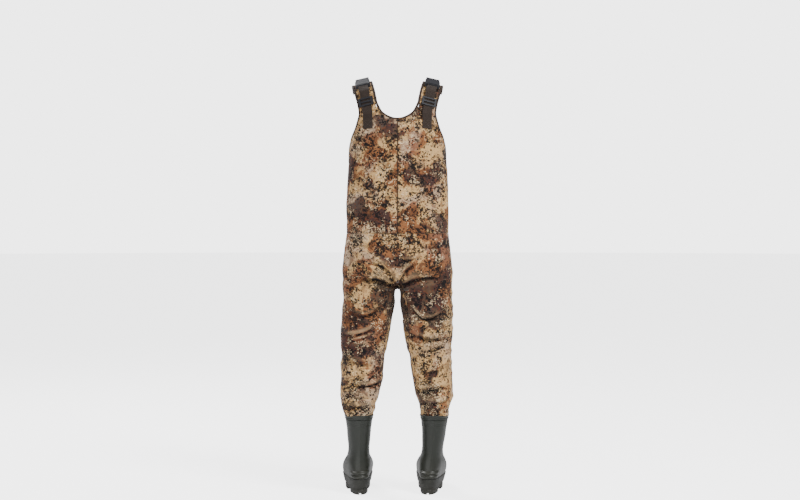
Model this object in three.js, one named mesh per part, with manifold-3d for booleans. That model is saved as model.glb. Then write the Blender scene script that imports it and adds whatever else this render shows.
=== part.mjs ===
// Chest waders: neoprene body panels sewn into a bib and two legs, moulded rubber boots,
// and webbing shoulder straps with a slider and a side-release buckle on each side.
// Millimetres, +Z up, front of the garment facing -Y, wearer's left at +X, standing on its soles.
import * as THREE from "three";
import { mergeVertices } from "three/addons/utils/BufferGeometryUtils.js";
import Module from "manifold-3d";

const wasm = await Module();
wasm.setup();

// ---- driving dimensions ----
const gap = 0.3; // between pieces that touch
const neoprene = 4.5; // body panel thickness
const level = { bootTop: 300, crotch: 790, waist: 1000, underarm: 1300, bibTop: 1400, horn: 1461 };
const bindingWidth = 9;
const bindingProud = 0.8; // how far the binding stands out from each face of the neoprene
const bindingGap = 2; // between the binding and the cut edge of the panel under it
const webbing = { width: 38, thickness: 1.8 };
const padHalfWidth = 40; // shoulder pad with its bindings
const padThickness = 6;

// torso sections: height, half width, depth behind the axis, depth in front of it
const torsoSections = [
  [790, 213, 104, 100],
  [840, 215, 124, 108],
  [900, 209, 133, 116],
  [1000, 197, 117, 122],
  [1090, 198, 106, 124],
  [1200, 193, 110, 126],
  [1300, 188, 122, 126],
  [1400, 187, 127, 119],
  [1480, 187, 118, 104],
];
const torsoSquareness = 2.4; // exponent of the torso's superellipse

// leg sections: height, centre from the middle, half width, centre front to back, half depth
const legSections = {
  left: [
    [300, 149.5, 54.5, 11.5, 63],
    [355, 149, 68, 9, 74],
    [394, 142, 74.5, 6, 79],
    [490, 134, 79.5, 0, 83],
    [567, 131, 88, -6, 88],
    [664, 120, 94, -6, 98],
    [790, 108, 104, 1, 101],
  ],
  right: [
    [300, 143.5, 55, 11.5, 63],
    [355, 144, 66, 9, 74],
    [394, 141, 71, 6, 79],
    [490, 133, 79, 0, 83],
    [567, 126, 88, -6, 88],
    [664, 118, 95, -6, 98],
    [790, 107, 103, 1, 101],
  ],
};

// boot sections: height, heel, toe, half width, how foot-shaped the outline is
const bootSections = [
  [27, 74, -217, 55, 1],
  [46, 79, -222, 58, 1],
  [64, 79, -217, 58, 1],
  [82, 75, -198, 55, 0.9],
  [98, 71, -165, 51, 0.75],
  [116, 66, -122, 46.5, 0.5],
  [142, 61, -80, 41, 0.2],
  [175, 60, -61, 41, 0],
  [215, 64, -55, 44.5, 0],
  [260, 70, -53, 48.5, 0],
  [300, 75, -52, 54.5, 0],
];
const boots = {
  left: { side: 1, x: 148.5, lean: 1 },
  right: { side: -1, x: 122, lean: 21.5 },
};
const toeOut = 5; // degrees
const bootWall = 3.6;
const bootLining = 3;
const collarHeight = 14;
const outsole = { height: 27, archRise: 12, tread: 6 };
const randHeight = 33;
const bootColumns = 16;

const armholeBack = [
  [1, 1300],
  [0.985, 1300.3],
  [0.965, 1305],
  [0.92, 1320],
  [0.86, 1340],
  [0.79, 1364],
  [0.7, 1393],
  [0.646, 1422],
  [0.614, 1452],
  [0.617, 1476],
]; // share of the way from centre back to the side seam, height
const armholeFront = [
  [1, 1300],
  [0.985, 1300.3],
  [0.96, 1304.5],
  [0.9, 1317],
  [0.8, 1333],
  [0.67, 1354],
  [0.56, 1376],
  [0.49, 1402],
];
const neckline = [
  [0, 1437],
  [12, 1438],
  [27, 1442.5],
  [45, 1452],
  [59, 1463.5],
  [68, 1475],
]; // distance from centre back, height

// the shoulder pad's upper face, from the back over the shoulder to the upper chest
const padPath = [
  [111, 105, 1471],
  [116, 94, 1499],
  [124, 73, 1533],
  [132, 40, 1562],
  [137, 0, 1576],
  [138, -38, 1570],
  [134, -72, 1547],
];
const padRoll = [22, 13]; // degrees the pad leans outwards at the back and on the shoulder

const finish = {
  camoLight: { color: 0xb59c7a, roughness: 0.92, metalness: 0 },
  camoDark: { color: 0x8a6848, roughness: 0.92, metalness: 0 },
  binding: { color: 0x3a291f, roughness: 0.9, metalness: 0 },
  webbing: { color: 0x392c24, roughness: 0.85, metalness: 0 },
  plastic: { color: 0x3a3b42, roughness: 0.45, metalness: 0 },
  rubber: { color: 0x343830, roughness: 0.5, metalness: 0 },
  sole: { color: 0x2a2d28, roughness: 0.7, metalness: 0 },
  lining: { color: 0x2b2623, roughness: 0.95, metalness: 0 },
  steel: { color: 0x9a9c9e, roughness: 0.35, metalness: 0.9 },
  hook: { color: 0x2c2622, roughness: 0.95, metalness: 0 },
};

const waders = new THREE.Group();
const X = new THREE.Vector3(1, 0, 0);

function addPiece(name, geometry, look, parent = waders) {
  const mesh = new THREE.Mesh(geometry, new THREE.MeshStandardMaterial(finish[look]));
  mesh.name = name;
  parent.add(mesh);
  return mesh;
}

// ---- curves and sheets ----

// smooth value of one column of a table of sections at height z
function sectionValue(sections, column, z) {
  const last = sections.length - 1;
  let i = 0;
  while (i < last - 1 && z > sections[i + 1][0]) i++;
  const slope = (k) => {
    const a = sections[Math.max(0, k - 1)];
    const b = sections[Math.min(last, k + 1)];
    return (b[column] - a[column]) / (b[0] - a[0]);
  };
  const [low, high] = [sections[i], sections[i + 1]];
  const span = high[0] - low[0];
  const t = THREE.MathUtils.clamp((z - low[0]) / span, 0, 1);
  const bend = t * t * (3 - 2 * t);
  return (
    low[column] * (1 - bend) +
    high[column] * bend +
    span * slope(i) * t * (1 - t) ** 2 -
    span * slope(i + 1) * t * t * (1 - t)
  );
}

function signedPower(value, power) {
  return Math.sign(value) * Math.abs(value) ** power;
}

// value of a polyline's first column where its second column reaches z
function crossing(line, z) {
  let i = 0;
  while (i < line.length - 2 && z > line[i + 1][1]) i++;
  const [a, b] = [line[i], line[i + 1]];
  const t = THREE.MathUtils.clamp((z - a[1]) / (b[1] - a[1]), 0, 1);
  return a[0] + (b[0] - a[0]) * t;
}

function spread(from, to, steps) {
  return Array.from({ length: steps + 1 }, (_, i) => from + ((to - from) * i) / steps);
}

// closed solid from a sheet of points: place(row, column, face) with face 0 outside and 1 inside
function sheetSolid(rows, columns, place, wraps = false) {
  const positions = [];
  const index = [];
  const width = wraps ? columns : columns + 1;
  for (const face of [0, 1]) {
    for (let r = 0; r <= rows; r++) {
      for (let c = 0; c < width; c++) positions.push(...place(r, c, face).toArray());
    }
  }
  const inner = (rows + 1) * width;
  const at = (r, c, face) => face * inner + r * width + (c % width);
  const quad = (a, b, c, d) => index.push(a, b, c, a, c, d);
  for (let r = 0; r < rows; r++) {
    for (let c = 0; c < columns; c++) {
      quad(at(r, c, 0), at(r, c + 1, 0), at(r + 1, c + 1, 0), at(r + 1, c, 0));
      quad(at(r, c, 1), at(r + 1, c, 1), at(r + 1, c + 1, 1), at(r, c + 1, 1));
    }
  }
  for (let c = 0; c < columns; c++) {
    quad(at(0, c, 0), at(0, c, 1), at(0, c + 1, 1), at(0, c + 1, 0));
    quad(at(rows, c, 0), at(rows, c + 1, 0), at(rows, c + 1, 1), at(rows, c, 1));
  }
  for (let r = 0; r < rows && !wraps; r++) {
    quad(at(r, 0, 0), at(r + 1, 0, 0), at(r + 1, 0, 1), at(r, 0, 1));
    quad(at(r, columns, 0), at(r, columns, 1), at(r + 1, columns, 1), at(r + 1, columns, 0));
  }
  return facingOut(positions, index);
}

// turns the triangles round if they enclose a negative volume
function facingOut(positions, index) {
  const corner = (i) => new THREE.Vector3().fromArray(positions, 3 * index[i]);
  let volume = 0;
  for (let i = 0; i < index.length; i += 3) {
    volume += corner(i).dot(corner(i + 1).cross(corner(i + 2)));
  }
  if (volume < 0) index.reverse();
  const geometry = new THREE.BufferGeometry();
  geometry.setAttribute("position", new THREE.Float32BufferAttribute(positions, 3));
  geometry.setIndex(index);
  geometry.computeVertexNormals();
  return geometry;
}

// band of rectangular section along stations {at, across, out}: from..to across, low..high outwards
function bandSolid(stations, from, to, low, high) {
  return sheetSolid(stations.length - 1, 1, (r, c, face) => {
    const { at, across, out } = stations[r];
    return at
      .clone()
      .addScaledVector(across, c ? to : from)
      .addScaledVector(out, face ? low : high);
  });
}

function solidOf(geometry) {
  const bare = geometry.clone();
  bare.deleteAttribute("normal");
  bare.deleteAttribute("uv");
  const merged = mergeVertices(bare, 1e-4);
  return new wasm.Manifold(
    new wasm.Mesh({
      numProp: 3,
      vertProperties: merged.attributes.position.array,
      triVerts: new Uint32Array(merged.index.array),
    }),
  );
}

function geometryOf(solid) {
  const { vertProperties, triVerts, numProp } = solid.getMesh();
  const positions = new Float32Array((vertProperties.length / numProp) * 3);
  for (let i = 0; i < positions.length / 3; i++) {
    for (let k = 0; k < 3; k++) positions[3 * i + k] = vertProperties[numProp * i + k];
  }
  const geometry = new THREE.BufferGeometry();
  geometry.setAttribute("position", new THREE.BufferAttribute(positions, 3));
  geometry.setIndex(Array.from(triVerts));
  geometry.computeVertexNormals();
  return geometry;
}

function joined(shapes) {
  return geometryOf(shapes.map(solidOf).reduce((whole, next) => whole.add(next)));
}

function cutAway(shape, cutters) {
  return geometryOf(cutters.map(solidOf).reduce((left, cutter) => left.subtract(cutter), solidOf(shape)));
}

// box from its low corner to its high corner
function boxBetween(x0, x1, y0, y1, z0, z1) {
  return new THREE.BoxGeometry(x1 - x0, y1 - y0, z1 - z0).translate(
    (x0 + x1) / 2,
    (y0 + y1) / 2,
    (z0 + z1) / 2,
  );
}

// plate with rounded corners, x0..x1 by y0..y1, standing from z0 to z1
function roundedPlate(x0, x1, y0, y1, z0, z1, radius, cornerSteps = 2) {
  const outline = new THREE.Shape();
  outline.moveTo(x0 + radius, y0);
  outline.lineTo(x1 - radius, y0);
  outline.absarc(x1 - radius, y0 + radius, radius, -Math.PI / 2, 0);
  outline.lineTo(x1, y1 - radius);
  outline.absarc(x1 - radius, y1 - radius, radius, 0, Math.PI / 2);
  outline.lineTo(x0 + radius, y1);
  outline.absarc(x0 + radius, y1 - radius, radius, Math.PI / 2, Math.PI);
  outline.lineTo(x0, y0 + radius);
  outline.absarc(x0 + radius, y0 + radius, radius, Math.PI, 1.5 * Math.PI);
  const options = { depth: z1 - z0, bevelEnabled: false, curveSegments: cornerSteps };
  return new THREE.ExtrudeGeometry(outline, options).translate(0, 0, z0);
}

// ---- torso ----

// point on the torso, angle from the wearer's left towards the back, depth inwards from the outer face
function onTorso(angle, z, depth = 0) {
  const halfWidth = sectionValue(torsoSections, 1, z);
  const reach = sectionValue(torsoSections, Math.sin(angle) > 0 ? 2 : 3, z);
  const power = 2 / torsoSquareness;
  const [c, s] = [signedPower(Math.cos(angle), power), signedPower(Math.sin(angle), power)];
  const out = new THREE.Vector3(
    signedPower(c, torsoSquareness - 1) / halfWidth,
    signedPower(s, torsoSquareness - 1) / reach,
    0,
  ).normalize();
  return new THREE.Vector3(halfWidth * c, reach * s, z).addScaledVector(out, -depth);
}

const quarterTables = new Map();
const quarterSteps = 60;

// running length round the torso from centre back (or centre front) to the side, at height z
function quarterTable(z, behind) {
  const key = `${z.toFixed(3)} ${behind}`;
  if (!quarterTables.has(key)) {
    const turn = behind ? 1 : -1;
    const angles = spread(0, 1, quarterSteps).map((t) => (turn * Math.PI * (1 - t)) / 2);
    const points = angles.map((angle) => onTorso(angle, z));
    const lengths = [0];
    for (let i = 1; i < points.length; i++) {
      lengths.push(lengths[i - 1] + points[i].distanceTo(points[i - 1]));
    }
    quarterTables.set(key, { angles, lengths });
  }
  return quarterTables.get(key);
}

function sideLength(z, behind) {
  return quarterTable(z, behind).lengths.at(-1);
}

// point on the torso at a distance along its girth from centre back or centre front; + is the left
function onGirth(distance, z, behind, depth = 0) {
  const { angles, lengths } = quarterTable(z, behind);
  const wanted = Math.min(Math.abs(distance), lengths.at(-1));
  let i = 0;
  while (i < lengths.length - 2 && wanted > lengths[i + 1]) i++;
  const t = (wanted - lengths[i]) / (lengths[i + 1] - lengths[i]);
  const point = onTorso(angles[i] + (angles[i + 1] - angles[i]) * t, z, depth);
  if (distance < 0) point.x = -point.x;
  return point;
}

// an edge curve given as [share of the quarter girth, height] turned into lengths
function edgeLengths(edge, behind) {
  return edge.map(([share, z]) => [share * sideLength(z, behind), z]);
}

function smoothEdge(line, steps) {
  const curve = new THREE.CatmullRomCurve3(line.map(([a, z]) => new THREE.Vector3(a, z, 0)));
  return curve.getSpacedPoints(steps).map((p) => [p.x, p.y]);
}

// the same curve moved sideways by a distance, to its right as it runs
function insetEdge(line, distance) {
  return line.map(([a, z], i) => {
    const before = line[Math.max(0, i - 1)];
    const after = line[Math.min(line.length - 1, i + 1)];
    const [da, dz] = [after[0] - before[0], after[1] - before[1]];
    const length = Math.hypot(da, dz);
    return [a + (dz / length) * distance, z - (da / length) * distance];
  });
}

const edgeSteps = 10;
const edges = {
  neck: smoothEdge(neckline, edgeSteps),
  armBack: smoothEdge(edgeLengths(armholeBack, true), edgeSteps),
  armFront: smoothEdge(edgeLengths(armholeFront, false), edgeSteps),
};
const bindingInset = bindingWidth + bindingGap;
const panelEdges = {
  neck: insetEdge(edges.neck, bindingInset),
  armBack: insetEdge(edges.armBack, -bindingInset),
  armFront: insetEdge(edges.armFront, -bindingInset),
};

function panelEdge(line, z, before) {
  return z <= line[0][1] ? before : crossing(line, z);
}

// heights that follow an edge curve closely between low and high
function rowsAlong(low, high, lines, coarse) {
  const heights = spread(low, high, coarse);
  for (const line of lines) {
    for (const [, z] of line) if (z > low + 1 && z < high - 1) heights.push(z);
  }
  heights.sort((a, b) => a - b);
  return heights.filter((z, i) => i === 0 || z - heights[i - 1] > 0.5 || z === high);
}

function torsoPanel(rows, columns, behind, range) {
  return sheetSolid(rows.length - 1, columns, (r, c, face) => {
    const z = rows[r];
    const [from, to] = range(z);
    return onGirth(from + ((to - from) * c) / columns, z, behind, face ? neoprene : 0);
  });
}

function backPanel(side) {
  const rows = rowsAlong(
    level.waist + gap / 2,
    level.horn,
    [panelEdges.neck, panelEdges.armBack],
    6,
  );
  return torsoPanel(rows, 5, true, (z) => {
    const inner = panelEdge(panelEdges.neck, z, gap / 2);
    const outer = panelEdge(panelEdges.armBack, z, sideLength(z, true) - gap / 2);
    return [side * inner, side * outer];
  });
}

function bibPanel() {
  const rows = rowsAlong(
    level.waist + gap / 2,
    level.bibTop - bindingInset,
    [panelEdges.armFront],
    6,
  );
  return torsoPanel(rows, 8, false, (z) => {
    const outer = panelEdge(panelEdges.armFront, z, sideLength(z, false) - gap / 2);
    return [-outer, outer];
  });
}

function hipPanel(behind) {
  const rows = spread(level.crotch + gap / 2, level.waist - gap / 2, 5);
  return torsoPanel(rows, 14, behind, (z) => {
    const outer = sideLength(z, behind) - gap / 2;
    return [-outer, outer];
  });
}

// plate that closes the fork between the legs, inside the foot of the torso
function crotchGusset() {
  const halfWidth = 36;
  const thickness = 4;
  const corner = (x, behind) => {
    const point = onGirth(x, level.crotch, behind, neoprene + 2.5);
    return new THREE.Vector2(point.x, point.y);
  };
  const across = spread(-halfWidth, halfWidth, 4);
  const outline = new THREE.Shape([
    ...across.map((x) => corner(x, false)),
    ...across.reverse().map((x) => corner(x, true)),
  ]);
  const plate = new THREE.ExtrudeGeometry(outline, { depth: thickness, bevelEnabled: false });
  return plate.translate(0, 0, level.crotch + gap);
}

// ---- legs ----

function onLeg(which, angle, z, depth = 0) {
  const side = boots[which].side;
  const [centre, halfWidth, middle, halfDepth] = [1, 2, 3, 4].map((column) =>
    sectionValue(legSections[which], column, z),
  );
  const top = THREE.MathUtils.smoothstep(z, 620, level.crotch);
  const squareness = Math.cos(angle) < 0 ? 2.3 + 1.9 * top : 2.3;
  const [c, s] = [Math.cos(angle), Math.sin(angle)].map((v) => signedPower(v, 2 / squareness));
  const out = new THREE.Vector3(
    signedPower(c, squareness - 1) / halfWidth,
    signedPower(s, squareness - 1) / halfDepth,
    0,
  ).normalize();
  const x = centre + halfWidth * c - out.x * depth;
  return new THREE.Vector3(side * x, middle + halfDepth * s - out.y * depth, z);
}

// half the angle that the inner-leg strip takes, which narrows from the fork down
function stripHalfAngle(z) {
  return THREE.MathUtils.lerp(12, 48, THREE.MathUtils.smoothstep(z, 420, level.crotch));
}

function legPanel(which, columns, range, rowsUp = 9) {
  const rows = spread(level.bootTop + gap / 2, level.crotch - gap / 2, rowsUp);
  return sheetSolid(rowsUp, columns, (r, c, face) => {
    const [from, to] = range(rows[r]);
    const angle = THREE.MathUtils.degToRad(from + ((to - from) * c) / columns);
    return onLeg(which, angle, rows[r], face ? neoprene : 0);
  });
}

function kneePad(which) {
  const [low, high] = [452, 642];
  const [rows, columns] = [6, 5];
  const halfAngle = 40;
  return sheetSolid(rows, columns, (r, c, face) => {
    const v = (2 * r) / rows - 1;
    const reach = halfAngle * (1 - 0.45 * v ** 4);
    const angle = THREE.MathUtils.degToRad(270 + reach * ((2 * c) / columns - 1));
    const z = (low + high) / 2 + ((high - low) / 2) * v;
    return onLeg(which, angle, z, face ? -2.2 : -5.2);
  });
}

function addLegs() {
  const seam = 0.12; // degrees left on each side of a seam
  for (const which of ["left", "right"]) {
    const back = legPanel(which, 5, (z) => [seam, 180 - stripHalfAngle(z) - seam]);
    const front = legPanel(which, 5, (z) => [180 + stripHalfAngle(z) + seam, 360 - seam]);
    const strip = legPanel(which, 2, (z) => [180 - stripHalfAngle(z), 180 + stripHalfAngle(z)]);
    addPiece(`${which}_leg_back_panel`, back, "camoLight");
    addPiece(`${which}_leg_front_panel`, front, "camoDark");
    addPiece(`${which}_inner_leg_strip`, strip, "camoLight");
    addPiece(`${which}_knee_pad`, kneePad(which), "camoDark");
  }
}

// ---- boots, each in its own frame: heel centre at the origin, toe towards -Y ----

// point on the boot's outer face, angle 0 at the outer side and 90 degrees at the heel
function onBoot(boot, angle, z, depth = 0) {
  const [heel, toe, halfWidth, footness] = [1, 2, 3, 4].map((column) =>
    sectionValue(bootSections, column, z),
  );
  const [middle, halfLength] = [(heel + toe) / 2, (heel - toe) / 2];
  const squareness = 2.15 + 0.25 * footness;
  const place = (a) => {
    const [c, s] = [Math.cos(a), Math.sin(a)].map((v) => signedPower(v, 2 / squareness));
    const along = (s + 1) / 2; // 0 at the toe, 1 at the heel
    const waist = 1 - footness * 0.26 * THREE.MathUtils.smoothstep(along, 0.3, 0.78);
    const inside = c < 0 ? 1 - 0.1 * footness * Math.exp(-(((along - 0.55) / 0.2) ** 2)) : 1;
    const bend = footness * 7 * (1 - along) ** 2; // toes turn towards the inner side
    return new THREE.Vector2(halfWidth * c * waist * inside - bend, middle + halfLength * s);
  };
  const here = place(angle);
  const step = place(angle + 1e-3).sub(place(angle - 1e-3)).normalize();
  const lean = boot.lean * THREE.MathUtils.smoothstep(z, 0, 290);
  const x = here.x - step.y * depth + lean;
  const y = here.y + step.x * depth;
  return new THREE.Vector3(boot.side * x, y, z);
}

function bootTube(boot, rows, outside, inside) {
  return sheetSolid(
    rows.length - 1,
    bootColumns,
    (r, c, face) => {
      const angle = (2 * Math.PI * c) / bootColumns;
      return onBoot(boot, angle, rows[r], face ? inside : outside);
    },
    true,
  );
}

// flat plate with the boot's outline at a height, pulled in by a margin
function footPlate(boot, z, margin, z0, z1, points = 28) {
  const outline = spread(0, 2 * Math.PI, points)
    .slice(0, -1)
    .map((angle) => onBoot(boot, angle, z, margin))
    .map((p) => new THREE.Vector2(p.x, p.y));
  if (boot.side < 0) outline.reverse();
  const shape = new THREE.Shape(outline);
  return new THREE.ExtrudeGeometry(shape, { depth: z1 - z0, bevelEnabled: false }).translate(0, 0, z0);
}

// outsole with a raised arch, cross lugs under the forefoot and a split heel block
function outsoleSolid(boot) {
  const block = footPlate(boot, outsole.height, 1, 0, outsole.height);
  const cutters = [boxBetween(-90, 90, -62, -4, -1, outsole.archRise)];
  const grooves = [-186, -160, -134, -108, -82];
  for (const y of grooves) cutters.push(boxBetween(-90, 90, y - 4, y + 4, -1, outsole.tread));
  for (const y of [18, 42]) cutters.push(boxBetween(-90, 90, y - 3, y + 3, -1, outsole.tread));
  cutters.push(boxBetween(-3, 3, -3, 90, -1, outsole.tread));
  return cutAway(block, cutters);
}

// raised rubber cup round the back of the heel, with two ribs to kick the boot off by
function heelCounter(boot) {
  const profile = [
    [61, 1.6],
    [64, 3],
    [67, 7],
    [71, 7],
    [76, 3],
    [80, 7],
    [84, 7],
    [90, 1.4],
  ]; // height, how far it stands out
  const [first, last] = [2, 6]; // columns of the boot shell that it covers
  return sheetSolid(profile.length - 1, last - first, (r, c, face) => {
    const [z, proud] = profile[r];
    const t = (2 * c) / (last - first) - 1;
    const angle = (2 * Math.PI * (first + c)) / bootColumns;
    const thickness = 1.2 + (proud - 1.2) * (1 - t ** 4);
    return onBoot(boot, angle, z, face ? -gap : -gap - thickness);
  });
}

function addBoots() {
  for (const [which, boot] of Object.entries(boots)) {
    const frame = new THREE.Group();
    frame.position.set(boot.side * boot.x, 0, 0);
    frame.rotation.z = THREE.MathUtils.degToRad(boot.side * toeOut);
    waders.add(frame);
    const add = (name, geometry, look) => addPiece(`${which}_${name}`, geometry, look, frame);
    const floor = outsole.height + gap;
    const randTop = floor + randHeight;
    const shellTop = level.bootTop - collarHeight;
    const upper = [46, randTop, 76, 90, 103, 120, 145, 180, 225, shellTop - gap];
    const liningRows = [46, 76, 90, 103, 120, 145, 180, 225, shellTop - gap];
    const inner = bootWall + 2;
    const lining = inner + bootLining;
    add("outsole", outsoleSolid(boot), "sole");
    add("boot_shell", bootTube(boot, [floor, ...upper], 0, bootWall), "rubber");
    add("rand", bootTube(boot, [floor, 46, randTop - 1], -2.6, -gap), "sole");
    add("heel_counter", heelCounter(boot), "rubber");
    const collarRows = [shellTop, shellTop + 4, level.bootTop - gap / 2];
    add("boot_collar", bootTube(boot, collarRows, -1.6, bootWall), "rubber");
    add("boot_lining", bootTube(boot, liningRows, inner, lining), "lining");
    const boardTop = floor + 4;
    add("insole_board", footPlate(boot, floor, bootWall + 4, floor + gap, boardTop), "lining");
    const shank = roundedPlate(-11, 11, -78, 22, boardTop + gap, boardTop + gap + 1.4, 6);
    add("steel_shank", shank, "steel");
    const footbed = boardTop + 2 * gap + 1.4;
    add("insole", footPlate(boot, 46, lining + 2, footbed, footbed + 5), "lining");
  }
}

// ---- bindings and shoulder straps ----

const padCurve = new THREE.CatmullRomCurve3(padPath.map((p) => new THREE.Vector3(...p)));
const padSteps = spread(0, 1, 12); // shares of the pad's length, shared by its bindings

// frame at share t of a strap's length: across the strap, out of its upper face, and along it
function frameAlong(curve, t, side, lift = 0, roll = padRollAt) {
  const at = curve.getPointAt(t);
  const along = curve.getTangentAt(t);
  const flat = X.clone().addScaledVector(along, -X.dot(along)).normalize();
  const rise = along.clone().cross(flat);
  const lean = THREE.MathUtils.degToRad(roll(t));
  const across = flat.clone().multiplyScalar(Math.cos(lean)).addScaledVector(rise, -Math.sin(lean));
  const out = rise.multiplyScalar(Math.cos(lean)).addScaledVector(flat, Math.sin(lean));
  at.addScaledVector(out, lift);
  for (const v of [at, across, out, along]) v.x *= side;
  return { at, across, out, along };
}

function padRollAt(t) {
  return THREE.MathUtils.lerp(padRoll[0], padRoll[1], THREE.MathUtils.smoothstep(t, 0, 0.5));
}

function shoulderPad(side) {
  const stations = padSteps.map((t) => frameAlong(padCurve, Math.max(t, 0.006), side));
  const reach = padHalfWidth - bindingWidth - gap;
  return bandSolid(stations, -reach, reach, -padThickness, 0);
}

// stations along an edge curve on the torso, with across pointing into the panel
function edgeStations(line, behind, side, inwards) {
  return line.map(([a, z], i) => {
    const before = line[Math.max(0, i - 1)];
    const after = line[Math.min(line.length - 1, i + 1)];
    const at = onGirth(side * a, z, behind);
    const out = at.clone().sub(onGirth(side * a, z, behind, 1));
    const along = onGirth(side * after[0], after[1], behind)
      .sub(onGirth(side * before[0], before[1], behind))
      .normalize();
    const across = along.clone().cross(out).normalize().multiplyScalar(side * inwards);
    return { at, across, out };
  });
}

// stations along one edge of the pad, from the back to the chest
function padEdgeStations(side, edge) {
  return padSteps.slice(1).map((t) => {
    const { at, across, out } = frameAlong(padCurve, t, side);
    at.addScaledVector(across, edge * padHalfWidth);
    return { at, across: across.clone().multiplyScalar(-edge), out };
  });
}

function binding(stations, thickness) {
  return bandSolid(stations, 0, bindingWidth, -thickness - bindingProud, bindingProud);
}

function neckBinding() {
  const half = (side) => [
    ...edgeStations(edges.neck.slice(0, -1), true, side, -1),
    ...padEdgeStations(side, -1),
  ];
  const left = half(1);
  const right = half(-1).slice(1).reverse();
  return binding([...right, ...left], neoprene);
}

function armholeBinding(side) {
  const back = edgeStations(edges.armBack.slice(1, -1), true, side, 1);
  const front = edgeStations(edges.armFront.slice(0, -1), false, side, -1);
  const stations = [...front.reverse(), ...back, ...padEdgeStations(side, 1)];
  return binding(stations, neoprene);
}

function bibTopBinding() {
  const halfWidth = crossing(edges.armFront, level.bibTop - bindingWidth) - bindingWidth - bindingGap;
  const stations = spread(-halfWidth, halfWidth, 10).map((distance) => {
    const at = onGirth(distance, level.bibTop, false);
    const out = at.clone().sub(onGirth(distance, level.bibTop, false, 1));
    return { at, across: new THREE.Vector3(0, 0, -1), out };
  });
  return binding(stations, neoprene);
}

// ---- webbing, slider and buckle of each shoulder strap ----

// straight run of webbing that the slider travels on, from its low end to its high end
const sliderRun = [new THREE.Vector3(112.5, 114.5, 1455), new THREE.Vector3(126, 90.5, 1541)];
const buckle = {
  at: new THREE.Vector3(134, 31, 1575.5),
  pointing: new THREE.Vector3(0.045, -0.921, 0.387).normalize(), // from the back to the chest
  length: 76,
  width: 57,
  thickness: 13,
};
const hardwareRoll = 19; // degrees the webbing leans outwards on the back and the chest
const buckleRoll = 13;

function strapCurve(points) {
  return new THREE.CatmullRomCurve3(points, false, "centripetal");
}

// centre of a webbing that lies on the torso, at a distance from centre back or front
function sewnAt(distance, z, behind, lift = 1.6) {
  return onGirth(distance, z, behind, -lift);
}

function backWebbing(side) {
  const entry = buckle.at.clone().addScaledVector(buckle.pointing, -buckle.length / 2 + 9);
  const mouth = buckle.at.clone().addScaledVector(buckle.pointing, -buckle.length / 2 - 3);
  const run = [0, 0.15, 0.5, 0.85, 1].map((t) => sliderRun[0].clone().lerp(sliderRun[1], t));
  const curve = strapCurve([
    sewnAt(112.5, 1396, true),
    sewnAt(113, 1412, true),
    sewnAt(113.5, 1430, true, 3.2),
    ...run,
    mouth,
    entry,
  ]);
  const roll = (t) =>
    THREE.MathUtils.lerp(hardwareRoll, buckleRoll, THREE.MathUtils.smoothstep(t, 0.76, 0.93));
  const stations = spread(0, 1, 18).map((t) => frameAlong(curve, t, side, 0, roll));
  const [half, thick] = [webbing.width / 2, webbing.thickness / 2];
  return bandSolid(stations, -half, half, -thick, thick);
}

function frontWebbing(side) {
  const step = (t) => buckle.at.clone().addScaledVector(buckle.pointing, t);
  const end = buckle.length / 2;
  const curve = strapCurve([
    step(end - 7),
    step(end + 4),
    new THREE.Vector3(137, -42, 1592),
    new THREE.Vector3(134, -78, 1565),
    new THREE.Vector3(124, -107, 1508),
    new THREE.Vector3(112, -116, 1450),
    sewnAt(107, 1404, false, 3.6),
    sewnAt(106, 1380, false, 2.6),
    sewnAt(106, 1356, false),
    sewnAt(106, 1338, false),
  ]);
  const roll = (t) =>
    THREE.MathUtils.lerp(buckleRoll, hardwareRoll, THREE.MathUtils.smoothstep(t, 0.1, 0.6));
  const stations = spread(0, 1, 18).map((t) => frameAlong(curve, t, side, 0, roll));
  const [half, thick] = [webbing.width / 2, webbing.thickness / 2];
  return bandSolid(stations, -half, half, -thick, thick);
}

// group whose x runs across the strap, y along it towards the chest and z out of it
function strapFrame(at, along, roll, side) {
  const place = new THREE.LineCurve3(at, at.clone().add(along));
  const frame = frameAlong(place, 0, side, 0, () => roll);
  const across = frame.across.clone().multiplyScalar(-side);
  const group = new THREE.Group();
  group.matrix.makeBasis(across, frame.along, frame.out).setPosition(frame.at);
  group.matrix.decompose(group.position, group.quaternion, group.scale);
  waders.add(group);
  return group;
}

// adjuster: two side rails, three bars over the webbing and two under it
function sliderSolid() {
  const [halfWidth, halfLength, slot] = [28.5, 16.5, 20.4];
  const rails = [1, -1].map((s) => {
    const [x0, x1] = [s * slot, s * halfWidth].sort((a, b) => a - b);
    return roundedPlate(x0, x1, -halfLength, halfLength, -3.2, 3.4, 2.5);
  });
  const clear = webbing.thickness / 2 + 0.45;
  const over = [-13.4, 0, 13.4].map((y) => boxBetween(-25, 25, y - 2.6, y + 2.6, clear, 4.2));
  const under = [-11, 11].map((y) => boxBetween(-25, 25, y - 3, y + 3, -3.2, -clear));
  return joined([...rails, ...over, ...under]);
}

// receiving half: hollow plate with side windows, open towards the chest, and a webbing slot behind
function buckleSocket() {
  const { length, width, thickness } = buckle;
  const [back, front] = [-length / 2, 12];
  const half = thickness / 2;
  const body = roundedPlate(-width / 2, width / 2, back, front, -half, half, 5);
  const slotHalf = webbing.width / 2 + 0.8;
  return cutAway(body, [
    boxBetween(-slotHalf, slotHalf, back - 1, back + 11, -1.6, 1.6), // webbing goes in here
    boxBetween(-slotHalf, slotHalf, back + 3.5, back + 8, -1, half + 1), // and shows between bars
    boxBetween(-22.4, 22.4, -21, front + 1, -4, 4), // chamber for the arms
    boxBetween(-40, -20, -17, -1, -4, 4), // side windows
    boxBetween(20, 40, -17, -1, -4, 4),
  ]);
}

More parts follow.
